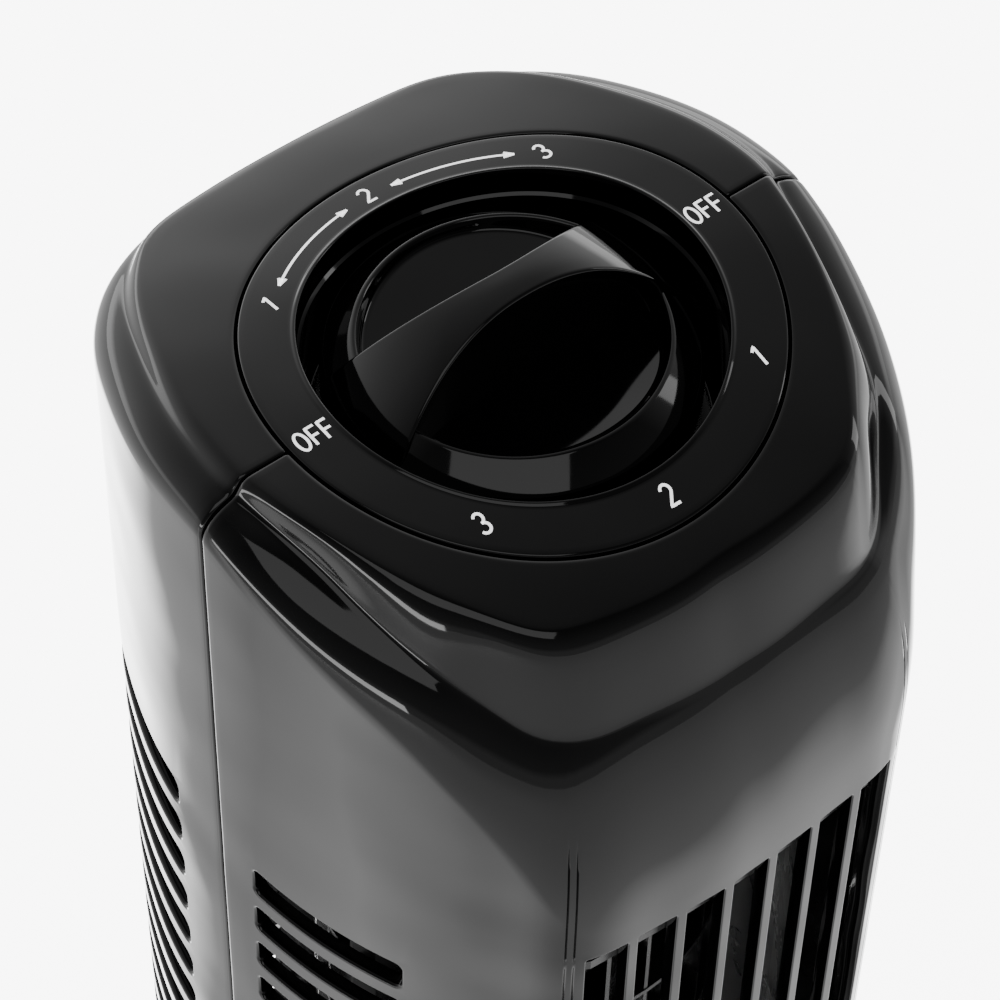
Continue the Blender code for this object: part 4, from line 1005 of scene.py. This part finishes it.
def wound_copper(name):
    """Enamelled winding: fine turns of wire round the coil."""
    made, tree, shader = shader_of(name)
    wave = tree.nodes.new("ShaderNodeTexWave")
    wave.bands_direction = "Z"
    wave.inputs["Scale"].default_value = 480.0
    wave.inputs["Distortion"].default_value = 1.5
    coordinates = tree.nodes.new("ShaderNodeTexCoord")
    tree.links.new(coordinates.outputs["Object"], wave.inputs["Vector"])
    colour = ramp_of(tree, wave.outputs["Fac"], (0.30, 0.10, 0.04), (0.75, 0.34, 0.16))
    tree.links.new(colour, shader.inputs["Base Color"])
    tree.links.new(bump_of(tree, wave.outputs["Fac"], 0.0004, 1.0), shader.inputs["Normal"])
    shader.inputs["Metallic"].default_value = 1.0
    shader.inputs["Roughness"].default_value = 0.35
    return made


def printed_ink_painted_glow(name):
    made, tree, shader = shader_of(name)
    noise = noise_of(tree, 900.0, 4.0)
    tree.links.new(ramp_of(tree, noise.outputs["Fac"], (0.72, 0.73, 0.74), (0.86, 0.86, 0.86)), shader.inputs["Base Color"])
    tree.links.new(bump_of(tree, noise.outputs["Fac"], 0.00002, 0.5), shader.inputs["Normal"])
    shader.inputs["Roughness"].default_value = 0.45
    # Painted light: a white emission makes the print glow brighter than the light falling on it would.
    shader.inputs["Emission Color"].default_value = (1.0, 1.0, 1.0, 1.0)
    shader.inputs["Emission Strength"].default_value = 1.6
    return made


finishes = {
    "gloss_black": moulded_plastic("gloss_black_look", (0.0012, 0.0012, 0.0014), (0.0022, 0.0022, 0.0024), 0.04, 0.075, 0.0012),
    "satin_black": moulded_plastic("satin_black_look", (0.012, 0.012, 0.013), (0.022, 0.022, 0.023), 0.34, 0.5, 0.0004, 0.00006),
    "duct_black": moulded_plastic("duct_black_look", (0.006, 0.006, 0.0065), (0.014, 0.014, 0.014), 0.22, 0.38, 0.0006),
    "rubber_black": moulded_plastic("rubber_black_look", (0.012, 0.012, 0.012), (0.024, 0.024, 0.024), 0.7, 0.9, 0.0003, 0.0001),
    "white_plastic": moulded_plastic("white_plastic_look", (0.66, 0.66, 0.63), (0.78, 0.78, 0.75), 0.35, 0.5, 0.0003, 0.00003),
    "bright_steel": bare_metal("bright_steel_look", (0.5, 0.5, 0.51), (0.66, 0.66, 0.67), 0.18, 0.34, (1.0, 1.0, 12.0)),
    "zinc_steel": bare_metal("zinc_steel_look", (0.42, 0.43, 0.45), (0.58, 0.59, 0.61), 0.3, 0.5, (3.0, 3.0, 3.0)),
    "aluminium": bare_metal("aluminium_look", (0.6, 0.6, 0.62), (0.76, 0.76, 0.78), 0.32, 0.48, (2.0, 2.0, 2.0)),
    "copper_wire": wound_copper("copper_wire_look"),
}
ink_white = printed_ink_painted_glow("ink_white_look")


def dress_cad_nodes():
    """Give each CAD node that stays in sight the finish of its own slot."""
    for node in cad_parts.values():
        named = [m.name.split(".")[0] for m in node.data.materials if m]
        finish = next((finishes[n] for n in named if n in finishes), finishes["satin_black"])
        node.data.materials.clear()
        node.data.materials.append(finish)


# ---------------------------------------------------------------- studio

def area_light(name, place, target, size, power, colour=(1.0, 1.0, 1.0)):
    lamp = bpy.data.lights.new(name, "AREA")
    lamp.shape = "RECTANGLE"
    lamp.size, lamp.size_y = size
    lamp.energy = power
    lamp.color = colour
    made = bpy.data.objects.new(name, lamp)
    made.location = place
    made.rotation_mode = "QUATERNION"
    made.rotation_quaternion = (Vector(target) - Vector(place)).to_track_quat("-Z", "Y")
    bpy.context.scene.collection.objects.link(made)
    return made


def away_share(tree, coordinates, way):
    """Rises from 0 to 1 across the studio in one level direction."""
    source = tree.nodes.new("ShaderNodeTexCoord")
    product = tree.nodes.new("ShaderNodeVectorMath")
    product.operation = "DOT_PRODUCT"
    product.inputs[1].default_value = (*way, 0.0)
    tree.links.new(source.outputs[coordinates], product.inputs[0])
    shifted = tree.nodes.new("ShaderNodeMath")
    shifted.operation = "ADD"
    shifted.use_clamp = True
    shifted.inputs[1].default_value = 0.5
    tree.links.new(product.outputs["Value"], shifted.inputs[0])
    return shifted.outputs["Value"]


def build_studio():
    mesh = bmesh.new()
    bmesh.ops.create_grid(mesh, x_segments=8, y_segments=8, size=6.0)
    data = bpy.data.meshes.new("studio_floor")
    mesh.to_mesh(data)
    mesh.free()
    floor = bpy.data.objects.new("studio_floor", data)
    bpy.context.scene.collection.objects.link(floor)
    made, tree, shader = shader_of("studio_floor_look")
    noise = noise_of(tree, 2.0, 2.0)
    tree.links.new(ramp_of(tree, noise.outputs["Fac"], (0.90, 0.90, 0.90), (0.93, 0.93, 0.93)), shader.inputs["Base Color"])
    shader.inputs["Roughness"].default_value = 0.9
    # Painted light on the floor: the emission varies in bands along one level direction across the studio, and a bright
    # painted pool of light sits round (0.36, 0.46) m.
    share = away_share(tree, "Object", (0.35, 1.0))
    painted_light_gradient = ramp_of(tree, share, (0.05, 0.05, 0.05), (0.12, 0.12, 0.12), 0.0, 1.0)
    for place, value in ((0.17, 0.14), (0.42, 0.18), (0.65, 0.08)):
        painted_light_gradient.node.color_ramp.elements.new(place).color = (value, value, value, 1.0)
    source = tree.nodes.new("ShaderNodeTexCoord")
    away = tree.nodes.new("ShaderNodeVectorMath")
    away.operation = "DISTANCE"
    away.inputs[1].default_value = (0.36, 0.46, 0.0)
    tree.links.new(source.outputs["Object"], away.inputs[0])
    painted_light_pool = ramp_of(tree, away.outputs["Value"], (0.95, 0.95, 0.95), (0.0, 0.0, 0.0), 0.34, 0.62)
    both = tree.nodes.new("ShaderNodeVectorMath")
    both.operation = "ADD"
    tree.links.new(painted_light_gradient, both.inputs[0])
    tree.links.new(painted_light_pool, both.inputs[1])
    tree.links.new(both.outputs["Vector"], shader.inputs["Emission Color"])
    shader.inputs["Emission Strength"].default_value = 7.5
    data.materials.append(made)

    world = bpy.data.worlds.new("studio_sky")
    world.use_nodes = True
    tree = world.node_tree
    background = tree.nodes["Background"]
    coordinates = tree.nodes.new("ShaderNodeTexCoord")
    split = tree.nodes.new("ShaderNodeSeparateXYZ")
    tree.links.new(coordinates.outputs["Generated"], split.inputs["Vector"])
    ramp = tree.nodes.new("ShaderNodeValToRGB")
    stops = ((0.0, 0.9), (0.10, 0.42), (0.55, 0.26), (0.80, 0.17), (1.0, 0.16))
    elements = ramp.color_ramp.elements
    for k, (place, value) in enumerate(stops):
        element = elements[k] if k < 2 else elements.new(place)
        element.position = place
        element.color = (value, value, value, 1.0)
    tree.links.new(split.outputs["Z"], ramp.inputs["Fac"])
    mixed = tree.nodes.new("ShaderNodeVectorMath")
    mixed.operation = "MULTIPLY"
    tree.links.new(ramp.outputs["Color"], mixed.inputs[0])
    sides = ramp_of(tree, away_share(tree, "Generated", (0.2, 0.5)), (0.14, 0.14, 0.14), (1.0, 1.0, 1.0), 0.35, 0.9)
    tree.links.new(sides, mixed.inputs[1])
    tree.links.new(mixed.outputs["Vector"], background.inputs["Color"])
    background.inputs["Strength"].default_value = 3.0
    bpy.context.scene.world = world

    area_light("card_left", (-2.6, -0.4, 0.5), (0.0, 0.0, 0.5), (2.4, 0.3), 14.0)
    area_light("softbox", (-1.1, -1.35, 3.1), (0.0, 0.0, 0.7), (3.0, 1.6), 14.0)
    area_light("strip_right", (2.4, -0.9, 1.2), (0.0, 0.0, 0.5), (0.4, 1.6), 5.0)


CAMERA_AZIMUTH = -39.14
CAMERA_ELEVATION = 51.86
CAMERA_ROLL = 1.59
CAMERA_LENS = 144.6
CAMERA_PLACE = (-0.2883, -0.3519, CROWN_TOP * MM + 0.5287)


def build_camera():
    a, e, roll = (math.radians(v) for v in (CAMERA_AZIMUTH, CAMERA_ELEVATION, CAMERA_ROLL))
    back = Vector((math.sin(a) * math.cos(e), -math.cos(a) * math.cos(e), math.sin(e)))
    right = Vector((math.cos(a), math.sin(a), 0.0))
    up = back.cross(right)
    turned_right = right * math.cos(roll) + up * math.sin(roll)
    turned_up = up * math.cos(roll) - right * math.sin(roll)
    lens = bpy.data.cameras.new("camera")
    lens.lens = CAMERA_LENS
    lens.sensor_width = 36.0
    made = bpy.data.objects.new("camera", lens)
    made.matrix_world = Matrix.Translation(CAMERA_PLACE) @ Matrix((turned_right, turned_up, back)).transposed().to_4x4()
    bpy.context.scene.collection.objects.link(made)
    bpy.context.scene.camera = made


build_front_shell(finishes["gloss_black"])
build_rear_shell(finishes["gloss_black"])
build_dial_ring(finishes["gloss_black"])
build_labels(ink_white)
build_knob(finishes["gloss_black"])
build_impeller(finishes["duct_black"])
build_base_cover("base_cover_front", "base_front_half", -1, finishes["gloss_black"])
build_base_cover("base_cover_rear", "base_rear_half", 1, finishes["gloss_black"])
dress_cad_nodes()
build_studio()
build_camera()
